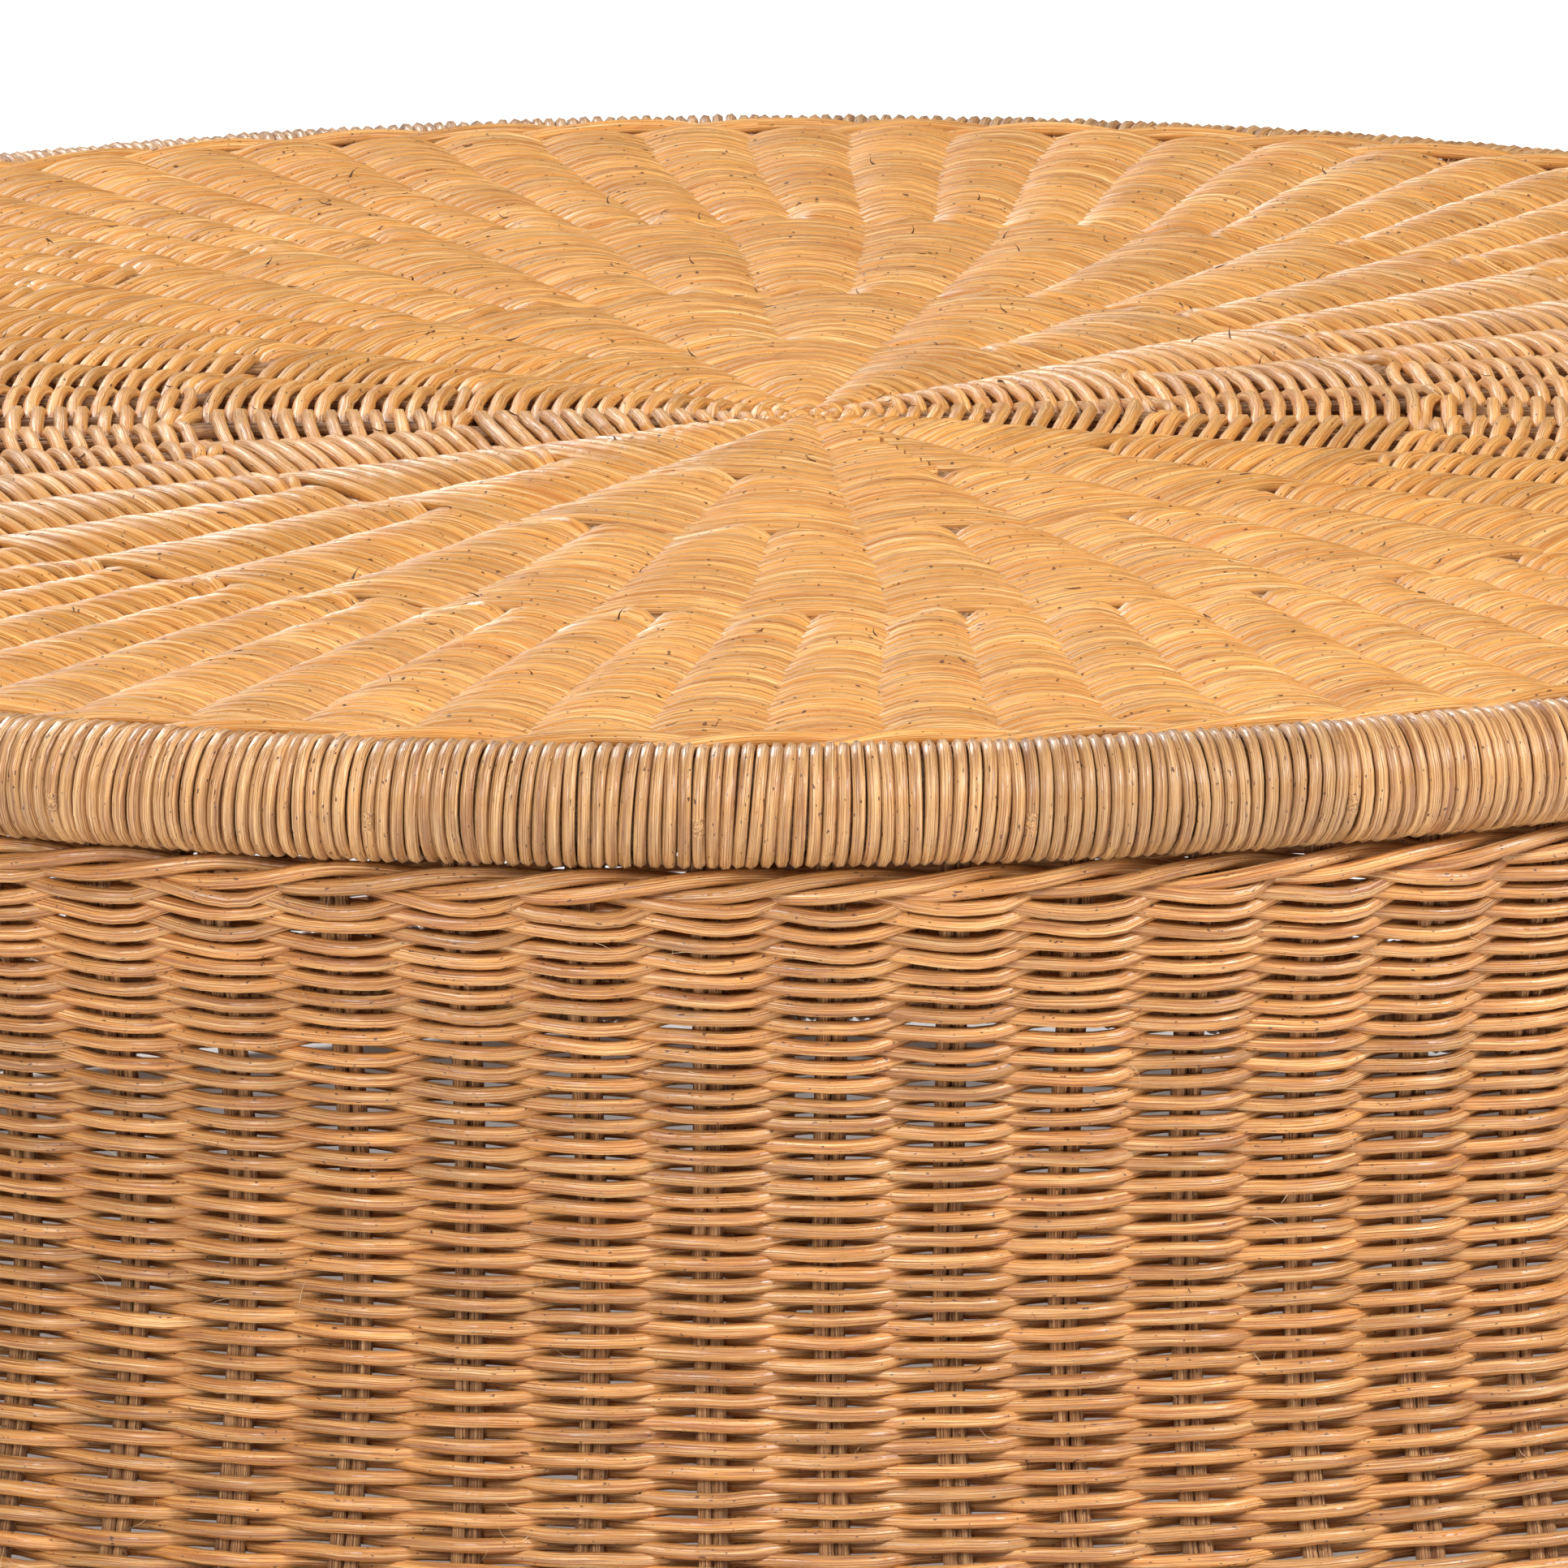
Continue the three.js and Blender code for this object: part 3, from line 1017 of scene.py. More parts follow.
@dataclass
class WovenTop:
    """The flat top: plain weave over radial spokes that part in two at the edge of each band.

    Gather and parting push the first rows of a band together and out where a pair of spokes
    parts. The wander of a row is drift and flutter, both in millimetres, as on the side.
    """

    cane: float = 5.5 * MM
    pitch: float = 3.95 * MM
    spoke: float = 4.6 * MM
    spoke_gap: float = 4.8 * MM
    sway: float = 3.8 * MM
    flatness: float = 0.85
    drift: float = 1.1
    flutter: float = 0.8
    gather: float = 0.15
    gather_length: float = 22 * MM
    parting: float = 5.5 * MM
    parting_rows: float = 2.2
    sides: int = 6
    spoke_points: int = 40
    spoke_overrun: float = 8 * MM
    eye: float = 3 * MM
    eye_offset: float = 19 * MM
    eye_reach: float = 300 * MM

    def __post_init__(self) -> None:
        """Read the panel's place from the frame."""
        low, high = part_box("top_panel")
        self.edge = high.x
        self.middle = high.z - self.sway - self.cane / 2
        self.bands = (
            Band("eye", 11, self.eye, 120 * MM, 24, parted=False),
            Band("inner", 22, 120 * MM, 216 * MM, 16),
            Band("middle", 44, 216 * MM, 360 * MM, 10),
            Band("outer_a", 88, 360 * MM, 456 * MM, 6),
            Band("outer_b", 88, 456 * MM, self.edge, 6, parted=False),
        )

    def point(self, tree: Tree, radius: Field, angle: Field, height: Field) -> Field:
        """Return a place on the top, whose eye lies a little off the rim's middle.

        Args:
            tree: The tree under construction.
            radius: The distance from the eye.
            angle: The angle round the table.
            height: The height above the floor.

        Returns:
            The place. The offset fades out between the eye's reach and the edge.
        """
        shift = (1.0 - tree.ease(radius, self.eye_reach, self.edge)) * self.eye_offset
        spot = tree.vector(shift, 0.0, 0.0)
        made = tree.node("ShaderNodeVectorMath", operation="ADD")
        tree.feed(made.inputs[0], tree.polar(radius, angle, height))
        tree.feed(made.inputs[1], spot)
        return Field(tree, made.outputs[0])

    def band(self, ring: Band, finish: bpy.types.Material) -> bpy.types.Object:
        """Weave one band.

        Args:
            ring: The band.
            finish: The cane's material.

        Returns:
            The woven piece.
        """
        name = "top_rows_" + ring.name
        rows = round((ring.outer - ring.inner) / self.pitch)
        pitch = (ring.outer - ring.inner) / rows
        # Round an odd number of spokes one cane coils outwards and alternates by itself.
        coiled = ring.spokes % 2 == 1
        tree = Tree(name)
        cane = tree.size("Cane Diameter", self.cane)
        sway = tree.size("Sway", self.sway)
        points = ring.spokes * ring.points_per_spoke + 1
        number, share = tree.strands(tree.size("Rows", rows), points)
        if coiled:
            begin = share * float(ring.spokes)
            row = number + share
        else:
            seat = tree.math("FLOOR", tree.random(number, 0.0, ring.spokes / 2, 7)) * 2.0 - number
            begin = share * float(ring.spokes) + seat + 1.0
            row = number
        angle = (begin + 0.5) * (TURN / ring.spokes) + FIRST_STAKE_LINE
        radius = (row + 0.5) * pitch + ring.inner
        spoke = begin
        if ring.parted:
            parent = (begin * 0.5 - 0.25) * TURN
            fresh = 1.0 - tree.ease(radius, ring.inner, ring.inner + self.gather_length)
            spoke = begin + tree.sin(parent) * fresh * (2 * self.gather)
            crotch = tree.math("POWER", tree.cos(parent) * 0.5 + 0.5, 5.0)
            fade = tree.math("EXPONENT", row * (-1 / self.parting_rows))
            radius = radius + fade * crotch * self.parting
        beat = tree.cos((spoke + number) * math.pi)
        passing = tree.flattened(beat, self.flatness)
        calm = tree.ease(radius, 0.0, 60 * MM)
        loose = tree.ring_noise(angle, 5.0, row * 0.4 + ring.inner * 900, 1.0)
        nudge = tree.ring_noise(angle, 26.0, row * 3.1 + ring.spokes, 1.0)
        swell = tree.ring_noise(angle, 3.0, radius * 8.0)
        radius = radius + (loose * self.drift + nudge * self.flutter) * calm * MM
        depth = sway * passing * (0.25 + calm * 0.75) * (1.0 + nudge * 0.12)
        height = self.middle + depth + swell * 0.9 * MM * calm - 0.5 * MM
        tree.place(self.point(tree, radius, angle, height))
        girth = 1.0 + tree.ring_noise(angle, 2.0, row * 2.9 + 17.0) * 0.12
        girth = girth + tree.random(number, -0.1, 0.08, 9)
        tree.tube(cane * 0.5 * girth, self.sides)
        return tree.build(name, finish)

    def spokes(self, finish: bpy.types.Material) -> bpy.types.Object:
        """Lay the spokes, each as a pair of rods that starts where its band does.

        Args:
            finish: The spokes' material.

        Returns:
            All the spokes as one piece.
        """
        tree = Tree("top_spokes")
        spoke = tree.size("Spoke Diameter", self.spoke)
        gap = tree.size("Spoke Gap", self.spoke_gap)
        number, share = tree.strands(tree.size("Rods", 2 * STAKES), self.spoke_points)
        pair, side = tree.pairs(number)
        line = pair + 0.5
        begin: Number = self.eye
        edges = [band.inner for band in reversed(self.bands) if band.parted]
        family = [2.0**level for level in range(1, len(edges) + 1)]
        for edge, size in zip(edges, family):
            place = tree.math("FLOORED_MODULO", pair, size)
            late = tree.math("GREATER_THAN", place, size / 2 - 0.5)
            begin = tree.math("MAXIMUM", begin, late * (edge - self.spoke_overrun))
        radius = begin + share * (self.edge + self.spoke_overrun - begin)
        for edge, size in zip(edges, family):
            centre = (tree.math("FLOOR", pair / size) + 0.5) * size
            spread = tree.ease(radius, edge - 6 * MM, edge + self.gather_length)
            line = centre + (line - centre) * spread
        angle = line * STAKE_STEP + FIRST_STAKE_LINE
        narrow = tree.ease(radius, 0.0, 50 * MM)
        angle = angle + side * gap * 0.5 * narrow / radius
        height = self.middle + tree.noise(radius * 30.0, number * 1.7, 3.0) * 0.5 * MM
        tree.place(self.point(tree, radius, angle, height))
        tree.tube(spoke * 0.5 * (0.3 + narrow * 0.7), self.sides)
        return tree.build("top_spokes", finish)

    def make(self, canes: bpy.types.Material, rods: bpy.types.Material) -> list[bpy.types.Object]:
        """Weave the top.

        Args:
            canes: The weavers' material.
            rods: The spokes' material.

        Returns:
            The woven bands, from the eye out.
        """
        bands = [settle(self.band(ring, canes), Slot.TOP, "top_panel") for ring in self.bands]
        settle(self.spokes(rods), Slot.TOP, "top_panel")
        return bands


# ---------------------------------------------------------------- the wrapped rims


@dataclass
class RimWrap:
    """Round cane wound turn by turn round a hoop.

    Lean, sway and bow are how far the turns lie off their even places, the last two in
    millimetres, and ride_up is how far they climb on each other. Every piece_turns a new length
    of cane starts.
    """

    node: str
    cane: float = 4.75 * MM
    turns: int = 790
    points_per_turn: int = 18
    sides: int = 6
    lean: float = 3.2 * MM
    sway: float = 0.8
    bow: float = 1.3
    ride_up: float = 0.7 * MM
    piece_turns: float = 23.0

    def make(self, finish: bpy.types.Material) -> None:
        """Wind the cane.

        Args:
            finish: The cane's material.
        """
        low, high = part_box(self.node)
        middle_height = (low.z + high.z) / 2
        tube = (high.z - low.z) / 2
        middle_radius = high.x - tube
        tree = Tree(self.node)
        cane = tree.size("Cane Diameter", self.cane)
        turns = tree.size("Turns", self.turns)
        strand, share = tree.strands(1, self.turns * self.points_per_turn + 1)
        wound = tree.math("MULTIPLY", share, turns)
        tree.store("strand", tree.math("FLOOR", wound * (1 / self.piece_turns)) + strand)
        turn = wound * TURN
        lean = tree.noise(wound * 0.13, 1.0, 2.0) * self.lean
        sway = tree.noise(wound * 0.45, 7.0, 2.0) * self.sway * MM
        bow = tree.noise(wound * 0.21, 5.0, 9.0, 1.0) * self.bow * MM
        shift = (lean + sway) * tree.sin(turn) + bow * tree.cos(turn * 2.0)
        angle = share * TURN + math.pi + shift / middle_radius
        lift = tree.noise(wound * 0.9, tree.cos(turn) * 0.6, tree.sin(turn) * 0.6) * self.ride_up
        girth = 1.0 + tree.noise(wound * 0.08, 3.0, 8.0, 1.0) * 0.12
        radius = tube - cane * 0.5 * girth + lift - 0.15 * MM
        out = radius * tree.cos(turn) + middle_radius
        tree.place(tree.polar(out, angle, radius * tree.sin(turn) + middle_height))
        tree.tube(cane * 0.5 * girth, self.sides)
        settle(tree.build(self.node + "_cane", finish), Slot.WRAP, self.node)


# ---------------------------------------------------------------- loose fibres


@dataclass
class Fibres:
    """Loose fibres or splinters that stand off a woven face, with density per square metre."""

    name: str
    density: float
    length: float
    thickness: float
    rise: float
    seed: int
    facing_up: bool = False
    least_facing: float = 0.35
    points: int = 5
    smallest: float = 0.35
    largest: float = 1.3

    def blade(self, tree: Tree) -> bpy.types.NodeSocket:
        """Shape one fibre, curling aside and off the face, and return its geometry."""
        reach = tree.size("Length", self.length)
        share = tree.strands(1, self.points)[1]
        curl = tree.sin(share * 2.6) * 0.22
        tree.place(tree.vector(share * reach, curl * reach, share * share * reach * self.rise))
        tree.tube((1.1 - share) * (self.thickness / 2), 3)
        return tree.geometry

    def facing(self, tree: Tree) -> Field:
        """Return how squarely a face looks out of the wall, or up from the top, from -1 to 1."""
        # A place on the wall or the top times this is about one unit long.
        outward = (0.0, 0.0, 2.8) if self.facing_up else (1.75, 1.75, 0.0)
        away = tree.node("ShaderNodeVectorMath", operation="MULTIPLY")
        tree.group.links.new(tree.node("GeometryNodeInputPosition").outputs[0], away.inputs[0])
        away.inputs[1].default_value = outward
        facing = tree.node("ShaderNodeVectorMath", operation="DOT_PRODUCT")
        tree.group.links.new(tree.node("GeometryNodeInputNormal").outputs[0], facing.inputs[0])
        tree.group.links.new(away.outputs[0], facing.inputs[1])
        return Field(tree, facing.outputs["Value"])

    def make(
        self, host: bpy.types.Object, order: int, finish: bpy.types.Material, slot: Slot
    ) -> None:
        """Scatter the fibres over a woven piece.

        Args:
            host: The woven piece they stand on.
            order: The piece's place among its neighbours, which sets the draw apart.
            finish: The fibres' material.
            slot: The record's material slot.
        """
        seed = self.seed + order
        tree = Tree(f"{self.name}_{host.name}")
        blade = self.blade(tree)
        source = tree.node("GeometryNodeObjectInfo")
        source.inputs["Object"].default_value = host
        tree.geometry = source.outputs["Geometry"]
        turned = tree.math("GREATER_THAN", self.facing(tree), self.least_facing)
        scatter = tree.step(tree.node("GeometryNodeDistributePointsOnFaces"))
        tree.feed(scatter.inputs["Density"], tree.size("Density", self.density))
        tree.feed(scatter.inputs["Selection"], turned)
        scatter.inputs["Seed"].default_value = seed
        number = Field(tree, tree.node("GeometryNodeInputIndex").outputs[0])
        copies = tree.step(tree.node("GeometryNodeInstanceOnPoints"))
        tree.group.links.new(blade, copies.inputs["Instance"])
        tree.group.links.new(scatter.outputs["Rotation"], copies.inputs["Rotation"])
        scale = tree.random(number, self.smallest, self.largest, seed + 1)
        tree.feed(copies.inputs["Scale"], scale)
        spun = tree.step(tree.node("GeometryNodeRotateInstances"))
        spin = tree.random(number, 0.0, TURN, seed + 2)
        tree.feed(spun.inputs["Rotation"], tree.vector(0.0, 0.0, spin))
        settle(tree.build(tree.group.name, finish), slot)


WALL_HAIRS = Fibres("hairs", 650.0, 10 * MM, 0.3 * MM, rise=0.5, seed=20)
WALL_SPLINTERS = Fibres("splinters", 120.0, 5 * MM, 0.5 * MM, rise=0.3, seed=40)
TOP_HAIRS = Fibres("hairs", 150.0, 9 * MM, 0.25 * MM, 0.2, 60, facing_up=True, least_facing=0.6)
TOP_SPLINTERS = Fibres(
    "splinters", 550.0, 4.5 * MM, 0.7 * MM, 0.12, 80, facing_up=True, least_facing=0.6
)


# ---------------------------------------------------------------- poles, bindings and glides


@dataclass
class FramePole:
    """A rattan pole of the hidden frame, with growth rings along it.

    The pole swells at each ring and narrows just past it, by a share of its diameter. Drift is
    how far it wanders off its line, in millimetres.
    """

    node: str
    shape: PoleShape
    diameter: float
    drift: float = 1.2
    ring_step: float = 190 * MM
    swelling: float = 0.05
    narrowing: float = 0.03
    sides: int = 16
    points: int = 60

    def make(self, finish: bpy.types.Material) -> None:
        """Shape the pole where its CAD solid lies.

        Args:
            finish: The pole's material.
        """
        low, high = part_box(self.node)
        centre = (low + high) / 2
        half = (high - low) / 2
        tree = Tree(self.node)
        thickness = tree.size("Diameter", self.diameter)
        number, share = tree.strands(1, self.points)
        tag = float(sum(ord(letter) for letter in self.node) % 97)
        drift = tree.noise(share * 4.0, tag, 1.0) * self.drift * MM
        if self.shape is PoleShape.HOOP:
            middle = half.x - self.diameter / 2
            length = TURN * middle
            place = tree.polar(middle, share * TURN, centre.z)
        elif self.shape is PoleShape.STRAIGHT:
            lengthwise = half.x > half.y
            length = 2 * max(half.x, half.y)
            run = (share * 2.0 - 1.0) * (length / 2)
            aside = drift + (centre.y if lengthwise else centre.x)
            place = tree.vector(run if lengthwise else aside, aside if lengthwise else run, centre.z)
        else:
            place, length = self.bent(tree, share, drift, low, high)
        tree.store("strand", number + tag)
        tree.place(place)
        metres = share * length
        ring = tree.math("WRAP", metres + tag * 0.013, -self.ring_step / 2, self.ring_step / 2)
        swollen = tree.bell(ring / (4 * MM)) * self.swelling
        narrowed = tree.bell((ring - 7 * MM) / (3 * MM)) * self.narrowing
        tree.store("ring", tree.bell(ring / (1.6 * MM)))
        tree.tube(thickness * 0.5 * (0.985 + (swollen - narrowed)), self.sides)
        settle(tree.build(self.node + "_pole", finish), Slot.POLE, self.node)

    def bent(
        self, tree: Tree, share: Field, drift: Field, low: Vector, high: Vector
    ) -> tuple[Field, float]:
        """Bow an upright in to the waist, by the same rule as the wall.

        Args:
            tree: The tree under construction.
            share: The share of the way up.
            drift: A slight natural wander.
            low: The lowest corner of its box.
            high: The highest corner of its box.

        Returns:
            The places along it, and its length.
        """
        first_low, first_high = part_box("upright_1")
        ends = first_high.x - self.diameter / 2
        waist = first_low.x + self.diameter / 2
        centre = (low + high) / 2
        angle = math.atan2(centre.x, -centre.y)
        height = share * (high.z - low.z) + low.z
        radius = ends - share * (1.0 - share) * (4 * (ends - waist))
        return tree.polar(radius, drift / ends + angle, height), high.z - low.z


@dataclass
class Lashing:
    """Thin cane bound crosswise round two crossing poles.

    Lengthwise and sideways are the half sizes of a loop, along the line between the poles'
    middles and across it. Squareness makes a loop fuller than an ellipse, which is 2.
    """

    node: str
    lengthwise: float
    sideways: float
    turns: int = 4
    cane: float = 2.3 * MM
    lane: float = 1.02
    squareness: float = 2.7
    points: int = 37
    sides: int = 6

    def make(self, finish: bpy.types.Material, centre: Vector, inward: Vector, side: Vector) -> None:
        """Bind the crossing.

        Args:
            finish: The cane's material.
            centre: The middle of the crossing.
            inward: The direction from one pole's middle to the other's.
            side: A direction along one pole.
        """
        tree = Tree(self.node)
        cane = tree.size("Cane Width", self.cane)
        number, share = tree.strands(tree.size("Loops", 2 * self.turns), self.points)
        crossing = tree.math("FLOOR", number / float(self.turns))
        lane = number - crossing * float(self.turns) - (self.turns - 1) / 2
        slant = crossing * 2.0 - 1.0
        turn = share * TURN
        power = 2 / self.squareness
        long_way = self.rounded(tree, tree.cos(turn), power) * (self.lengthwise + 0.5 * self.cane)
        wide_way = self.rounded(tree, tree.sin(turn), power) * (self.sideways + 0.5 * self.cane)
        # The second layer of loops lies over the first.
        wide_way = wide_way * (1.0 + crossing * 0.05)
        long_way = long_way * (1.0 + crossing * 0.03)
        wander = tree.noise(share * 5.0, number * 3.0, 2.0) * 0.4 * MM
        offset = lane * cane * self.lane + wander
        root = 1 / math.sqrt(2)
        x = (wide_way + offset) * root
        y = (wide_way - offset) * slant * root
        tree.place(tree.vector(x, y, long_way))
        tree.tube(cane * 0.5, self.sides)
        piece = tree.build(self.node + "_binding", finish)
        other = inward.cross(side)
        turned = Matrix((side, other, inward)).transposed().to_4x4()
        piece.data.transform(Matrix.Translation(centre) @ turned)
        settle(piece, Slot.BINDING, self.node)

    def rounded(self, tree: Tree, value: Field, power: float) -> Field:
        """Return a value raised to a power with its sign kept."""
        return tree.math("SIGN", value) * tree.math("POWER", tree.math("ABSOLUTE", value), power)


@dataclass
class Glide:
    """A round rubber glide with a rolled edge and a pin sunk in its underside."""

    node: str
    sides: int = 40
    edge: float = 1.2 * MM
    edge_steps: int = 4
    recess: float = 4 * MM
    recess_depth: float = 1.6 * MM
    pin: float = 2.6 * MM
    pin_depth: float = 1.2 * MM

    def outline(self, radius: float, height: float) -> list[tuple[float, float]]:
        """Draw half the glide's section.

        Args:
            radius: The glide's radius.
            height: The glide's height.

        Returns:
            Its corners as distances from the axis and from the floor, from the pin round to the top.
        """
        corners = [
            (0.0, self.pin_depth),
            (self.pin, self.pin_depth),
            (self.pin + 0.3 * MM, self.pin_depth - 0.3 * MM),
            (self.pin + 0.5 * MM, self.recess_depth),
            (self.recess, self.recess_depth),
            (self.recess + 0.8 * MM, 0.2 * MM),
            (self.recess + 1.4 * MM, 0.0),
            (radius - 3 * self.edge, 0.0),
        ]
        for step in range(self.edge_steps + 1):
            turn = step / self.edge_steps * math.pi / 2
            out = radius - 2 * self.edge + self.edge * (math.sin(turn) - 0.5)
            corners.append((out, self.edge * (1 - math.cos(turn))))
        corners += [(radius, height - self.edge / 2), (radius - 0.4 * self.edge, height), (0.0, height)]
        return corners

    def make(self, finish: bpy.types.Material) -> None:
        """Turn the glide on its axis.

        Args:
            finish: The rubber's material.
        """
        low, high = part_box(self.node)
        centre = (low + high) / 2
        mesh = bpy.data.meshes.new(self.node + "_pad")
        shape = bmesh.new()
        rings = []
        for out, up in self.outline((high.x - low.x) / 2, high.z - low.z):
            steps = range(self.sides) if out > 0 else range(1)
            angles = [TURN * side / self.sides for side in steps]
            spots = [(centre.x + out * math.cos(a), centre.y + out * math.sin(a)) for a in angles]
            rings.append([shape.verts.new((x, y, low.z + up)) for x, y in spots])
        for inner, outer in zip(rings, rings[1:]):
            for side in range(self.sides):
                follow = (side + 1) % self.sides
                corners = [inner[side % len(inner)], outer[side % len(outer)]]
                corners += [outer[follow % len(outer)], inner[follow % len(inner)]]
                # At the axis two corners are the same one, which leaves a triangle.
                shape.faces.new(list(dict.fromkeys(corners)))
        bmesh.ops.recalc_face_normals(shape, faces=shape.faces)
        for face in shape.faces:
            face.smooth = True
        shape.to_mesh(mesh)
        shape.free()
        mesh.materials.append(finish)
        settle(add_object(self.node + "_pad", mesh), Slot.GLIDE, self.node)


@dataclass
class PoleFrame:
    """The hidden frame: hoops, uprights, bars and their bindings."""

    upright: float = 24 * MM
    waist_hoop: float = 20 * MM
    bar: float = 26 * MM
    rim_hoop: float = 32 * MM
    binding_reach: float = 1.36

    def make(self, poles: bpy.types.Material, bindings: bpy.types.Material) -> None:
        """Build the frame.

        Args:
            poles: The poles' material.
            bindings: The lashings' material.
        """
        for number in range(1, UPRIGHTS + 1):
            FramePole(f"upright_{number}", PoleShape.BENT, self.upright).make(poles)
        for number in range(1, TOP_BARS + 1):
            FramePole(f"top_bar_{number}", PoleShape.STRAIGHT, self.bar).make(poles)
        FramePole("cross_bar", PoleShape.STRAIGHT, self.bar).make(poles)
        FramePole("waist_hoop", PoleShape.HOOP, self.waist_hoop, points=240).make(poles)
        for name in ("top_rim_hoop", "base_hoop"):
            FramePole(name, PoleShape.HOOP, self.rim_hoop, points=200, sides=12).make(poles)
        self.waist_lashings(bindings)
        self.bar_lashings(bindings)

    def waist_lashings(self, finish: bpy.types.Material) -> None:
        """Bind the waist hoop to each upright.

        Args:
            finish: The bindings' material.
        """
        low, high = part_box("waist_hoop")
        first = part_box("upright_1")[0].x + self.upright / 2
        ring = high.x - self.waist_hoop / 2
        reach = (first - ring) / 2 + (self.upright + self.waist_hoop) / 4
        for number in range(1, UPRIGHTS + 1):
            turn = (number - 1) * TURN / UPRIGHTS
            outward = Vector((math.cos(turn), math.sin(turn), 0))
            middle = (first + self.upright / 2 + ring - self.waist_hoop / 2) / 2
            centre = outward * middle + Vector((0, 0, (low.z + high.z) / 2))
            across = self.upright / 2 * self.binding_reach
            binding = Lashing(f"waist_lashing_{number}", reach, across)
            binding.make(finish, centre, outward, Vector((0, 0, 1)))

    def bar_lashings(self, finish: bpy.types.Material) -> None:
        """Bind each top bar to the cross bar.

        Args:
            finish: The bindings' material.
        """
        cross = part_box("cross_bar")
        for number in range(1, TOP_BARS + 1):
            low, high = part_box(f"top_bar_{number}")
            reach = (high.z - cross[0].z) / 2
            centre = Vector((0, (low.y + high.y) / 2, (high.z + cross[0].z) / 2))
            across = self.bar / 2 * self.binding_reach
            binding = Lashing(f"bar_lashing_{number}", reach, across)
            binding.make(finish, centre, Vector((0, 0, 1)), Vector((1, 0, 0)))


# ---------------------------------------------------------------- studio


@dataclass(frozen=True)
class Lamp:
    """A soft square lamp: its place, the length of its side and its power in watts."""

    name: str
    place: tuple[float, float, float]
    size: float
    power: float

    def hang(self, aim: Vector) -> None:
        """Hang the lamp and point it at a place."""
        light = bpy.data.lights.new(self.name, "AREA")
        light.size = self.size
        light.energy = self.power
        lamp = add_object(self.name, light)
        lamp.location = self.place
        lamp.rotation_euler = (aim - Vector(self.place)).to_track_quat("-Z", "Y").to_euler()


LAMPS = (
    Lamp("key", (-1.6, 2.7, 2.4), 1.1, 96.0),
    Lamp("top", (0.2, -0.9, 3.2), 1.2, 18.0),
    Lamp("fill", (-1.6, -3.5, 2.3), 1.2, 100.0),
    Lamp("side", (2.7, -1.9, 2.7), 1.0, 126.0),
)


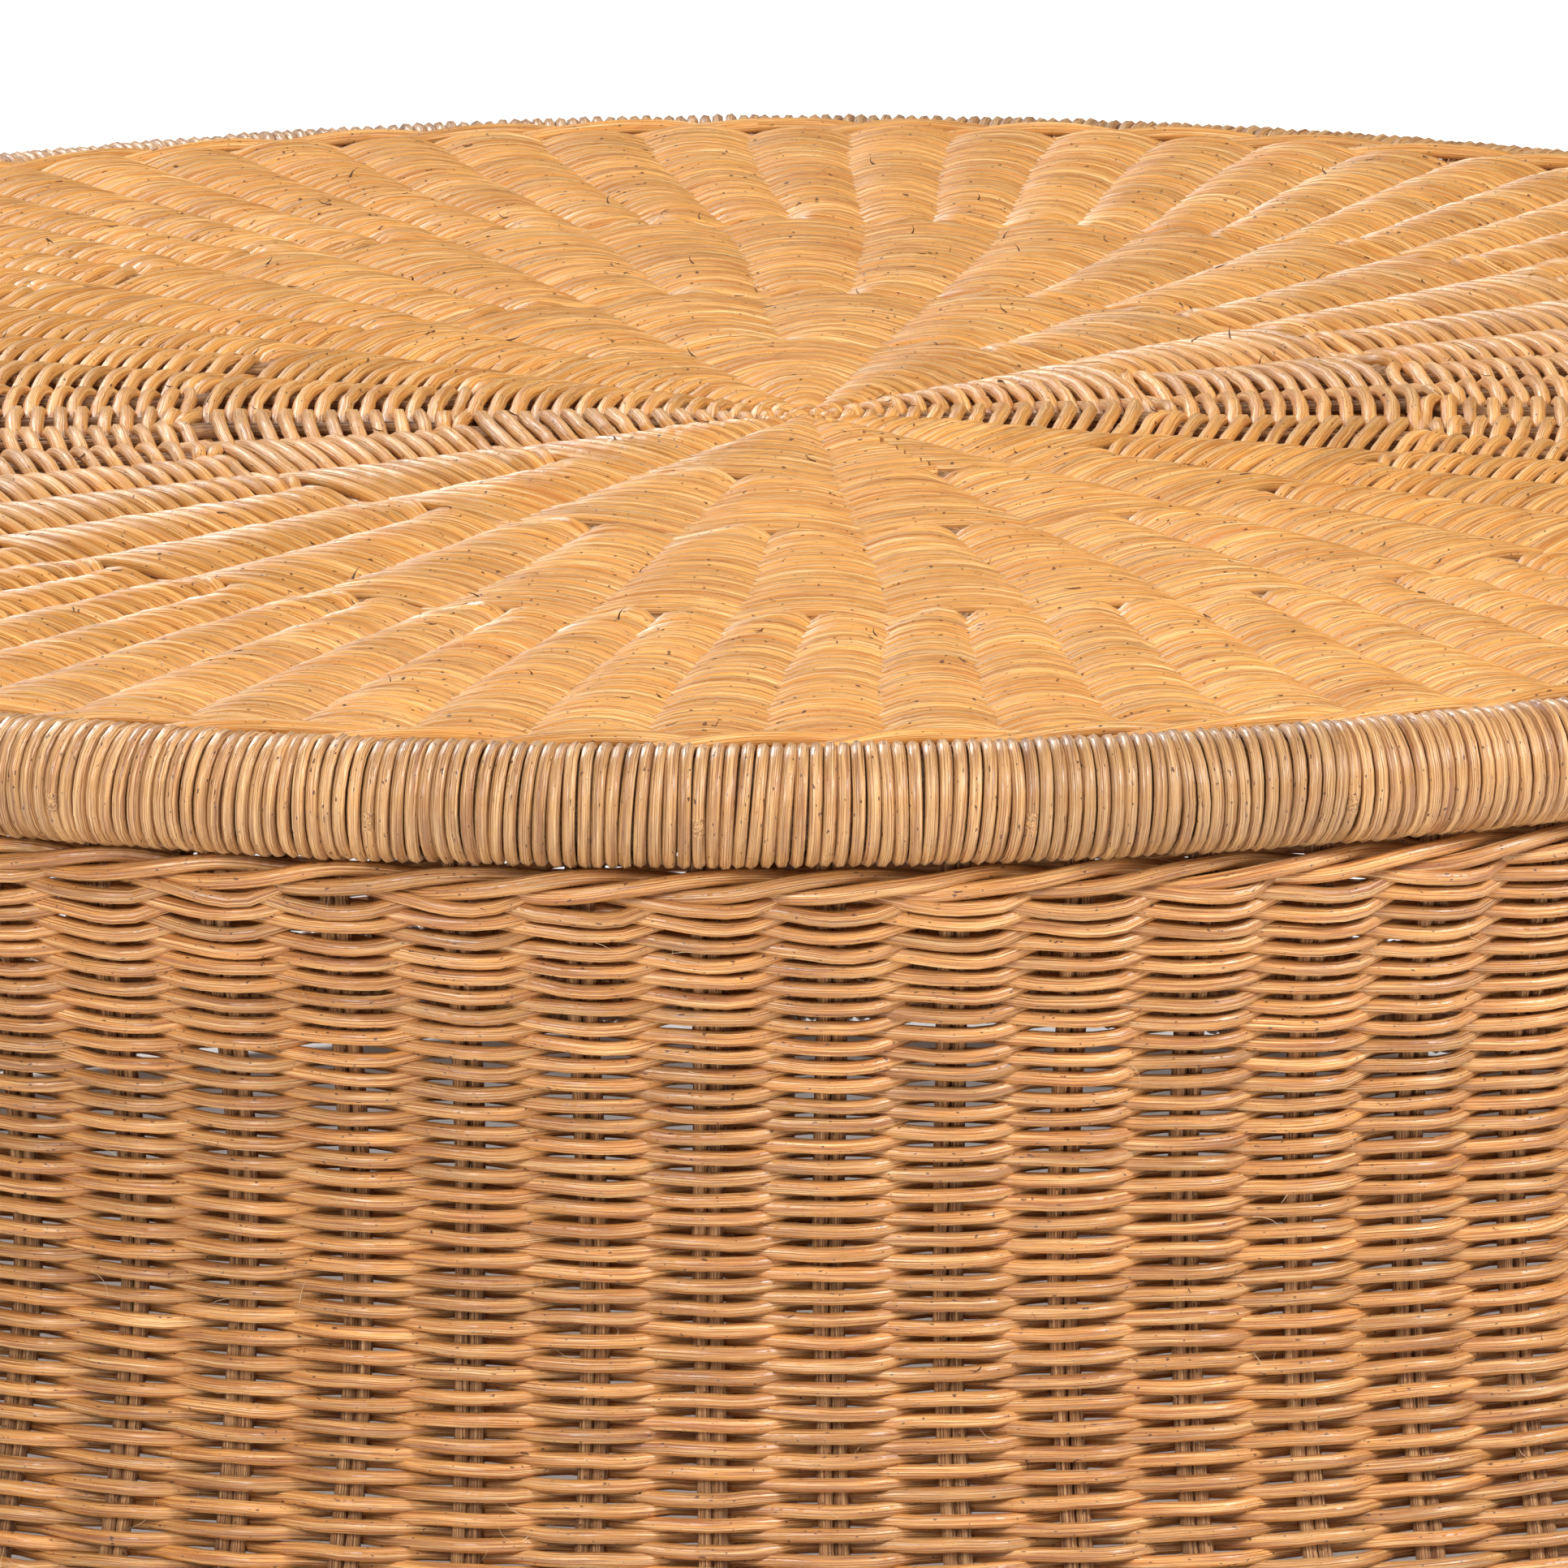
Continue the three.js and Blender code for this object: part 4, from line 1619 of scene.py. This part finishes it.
@dataclass
class Studio:
    """A pale floor, soft light and the camera.

    The floor glows white from where the table's shadow has faded out, and a little under the
    drum. The camera's yaw, pitch and roll are in radians, and its lens is in millimetres.
    """

    floor_size: float = 60.0
    floor_pale: Colour = (250, 250, 250)
    floor_grey: Colour = (246, 246, 246)
    outer_glow_start: float = 1.2
    outer_glow_full: float = 3.0
    glow_edge: float = 0.6
    glow_blur: float = 0.2
    inner_glow: float = 0.38
    glow: float = 0.6
    sky: float = 0.16
    lamp_aim: tuple[float, float, float] = (0, 0, 0.3)
    camera_place: tuple[float, float, float] = (0.0081, -7.1785, 1.7560)
    yaw: float = 0.00012
    pitch: float = 0.21062
    roll: float = -0.00558
    lens: float = 473.9
    sensor: float = 36.0

    def floor(self) -> None:
        """Lay the floor."""
        made, tree, shader = new_material("floor_paint")
        place = tree.node("ShaderNodeTexCoord").outputs["Object"]
        mottle = tree.range(tree.noise(place, 3.0, 3.0), 0.3, 0.7)
        paint = tree.mix(mottle, linear(self.floor_grey), linear(self.floor_pale))
        tree.feed(shader.inputs["Base Color"], paint)
        shader.inputs["Roughness"].default_value = 0.9
        reach = tree.node("ShaderNodeVectorMath", operation="LENGTH")
        tree.feed(reach.inputs[0], place)
        away = reach.outputs["Value"]
        outside = tree.range(away, self.outer_glow_start, self.outer_glow_full)
        inside = tree.range(
            away, self.glow_edge, self.glow_edge - self.glow_blur, 0.0, self.inner_glow
        )
        glow = tree.plus(outside, inside)
        tree.feed(shader.inputs["Emission Color"], tree.vector(glow, glow, glow))
        shader.inputs["Emission Strength"].default_value = self.glow
        mesh = bpy.data.meshes.new("floor")
        half = self.floor_size / 2
        corners = [(-half, -half, 0), (half, -half, 0), (half, half, 0), (-half, half, 0)]
        mesh.from_pydata(corners, [], [(0, 1, 2, 3)])
        mesh.materials.append(made)
        add_object("floor", mesh)

    def light(self) -> None:
        """Light the table softly from all round, with a key lamp behind and a fill in front."""
        world = bpy.data.worlds.new("studio")
        world.use_nodes = True
        background = world.node_tree.nodes["Background"].inputs
        background["Color"].default_value = (1.0, 1.0, 1.0, 1.0)
        background["Strength"].default_value = self.sky
        bpy.context.scene.world = world
        for lamp in LAMPS:
            lamp.hang(Vector(self.lamp_aim))
        bpy.context.scene.view_settings.view_transform = "Standard"

    def camera(self) -> None:
        """Set up the camera, which looks along +Y, tipped down by its pitch."""
        data = bpy.data.cameras.new("camera")
        data.lens = self.lens
        data.sensor_width = self.sensor
        data.clip_end = 100.0
        level = math.cos(self.pitch)
        ahead = Vector(
            (math.sin(self.yaw) * level, math.cos(self.yaw) * level, -math.sin(self.pitch))
        )
        right = ahead.cross(Vector((0, 0, 1))).normalized()
        up = right.cross(ahead)
        tilted = math.cos(self.roll) * right + math.sin(self.roll) * up
        upward = math.cos(self.roll) * up - math.sin(self.roll) * right
        basis = Matrix((tilted, upward, -ahead)).transposed().to_4x4()
        made = add_object("camera", data)
        made.matrix_world = Matrix.Translation(Vector(self.camera_place)) @ basis
        bpy.context.scene.camera = made

    def make(self) -> None:
        """Set the stage."""
        self.camera()
        self.floor()
        self.light()


def main() -> None:
    """Build the table and its stage."""
    logging.basicConfig(level=logging.INFO, format="%(message)s")
    grain = cane_grain()
    top = TOP_FINISH.material(grain)
    side = SIDE_FINISH.material(grain)
    wrap = WRAP_FINISH.material(grain)
    stake = STAKE_FINISH.material(grain)
    pole = POLE_FINISH.material(grain)
    binding = BINDING_FINISH.material(grain)
    rubber = RubberFinish().material()
    hair = HAIR_FINISH.material(grain)
    splinter = SPLINTER_FINISH.material(grain)
    Studio().make()
    walls = SideWeave().make(side, stake)
    Wale("upper_wale").make(side, Slot.SIDE)
    Wale("lower_wale").make(side, Slot.SIDE)
    bands = WovenTop().make(top, stake)
    edge = Wale("top_edge_wale", lying=True, depth=4.0 * MM, rise=5.4 * MM, span=4.0)
    edge.make(top, Slot.TOP)
    RimWrap("top_rim_wrap").make(wrap)
    RimWrap("base_wrap").make(wrap)
    PoleFrame().make(pole, binding)
    for number in range(1, GLIDES + 1):
        Glide(f"glide_{number}").make(rubber)
    for order, wall in enumerate(walls):
        WALL_HAIRS.make(wall, order, hair, Slot.SIDE)
        WALL_SPLINTERS.make(wall, order, splinter, Slot.SIDE)
    for order, band in enumerate(bands):
        TOP_HAIRS.make(band, order, hair, Slot.TOP)
        TOP_SPLINTERS.make(band, order, splinter, Slot.TOP)


if __name__ == "__main__":
    main()
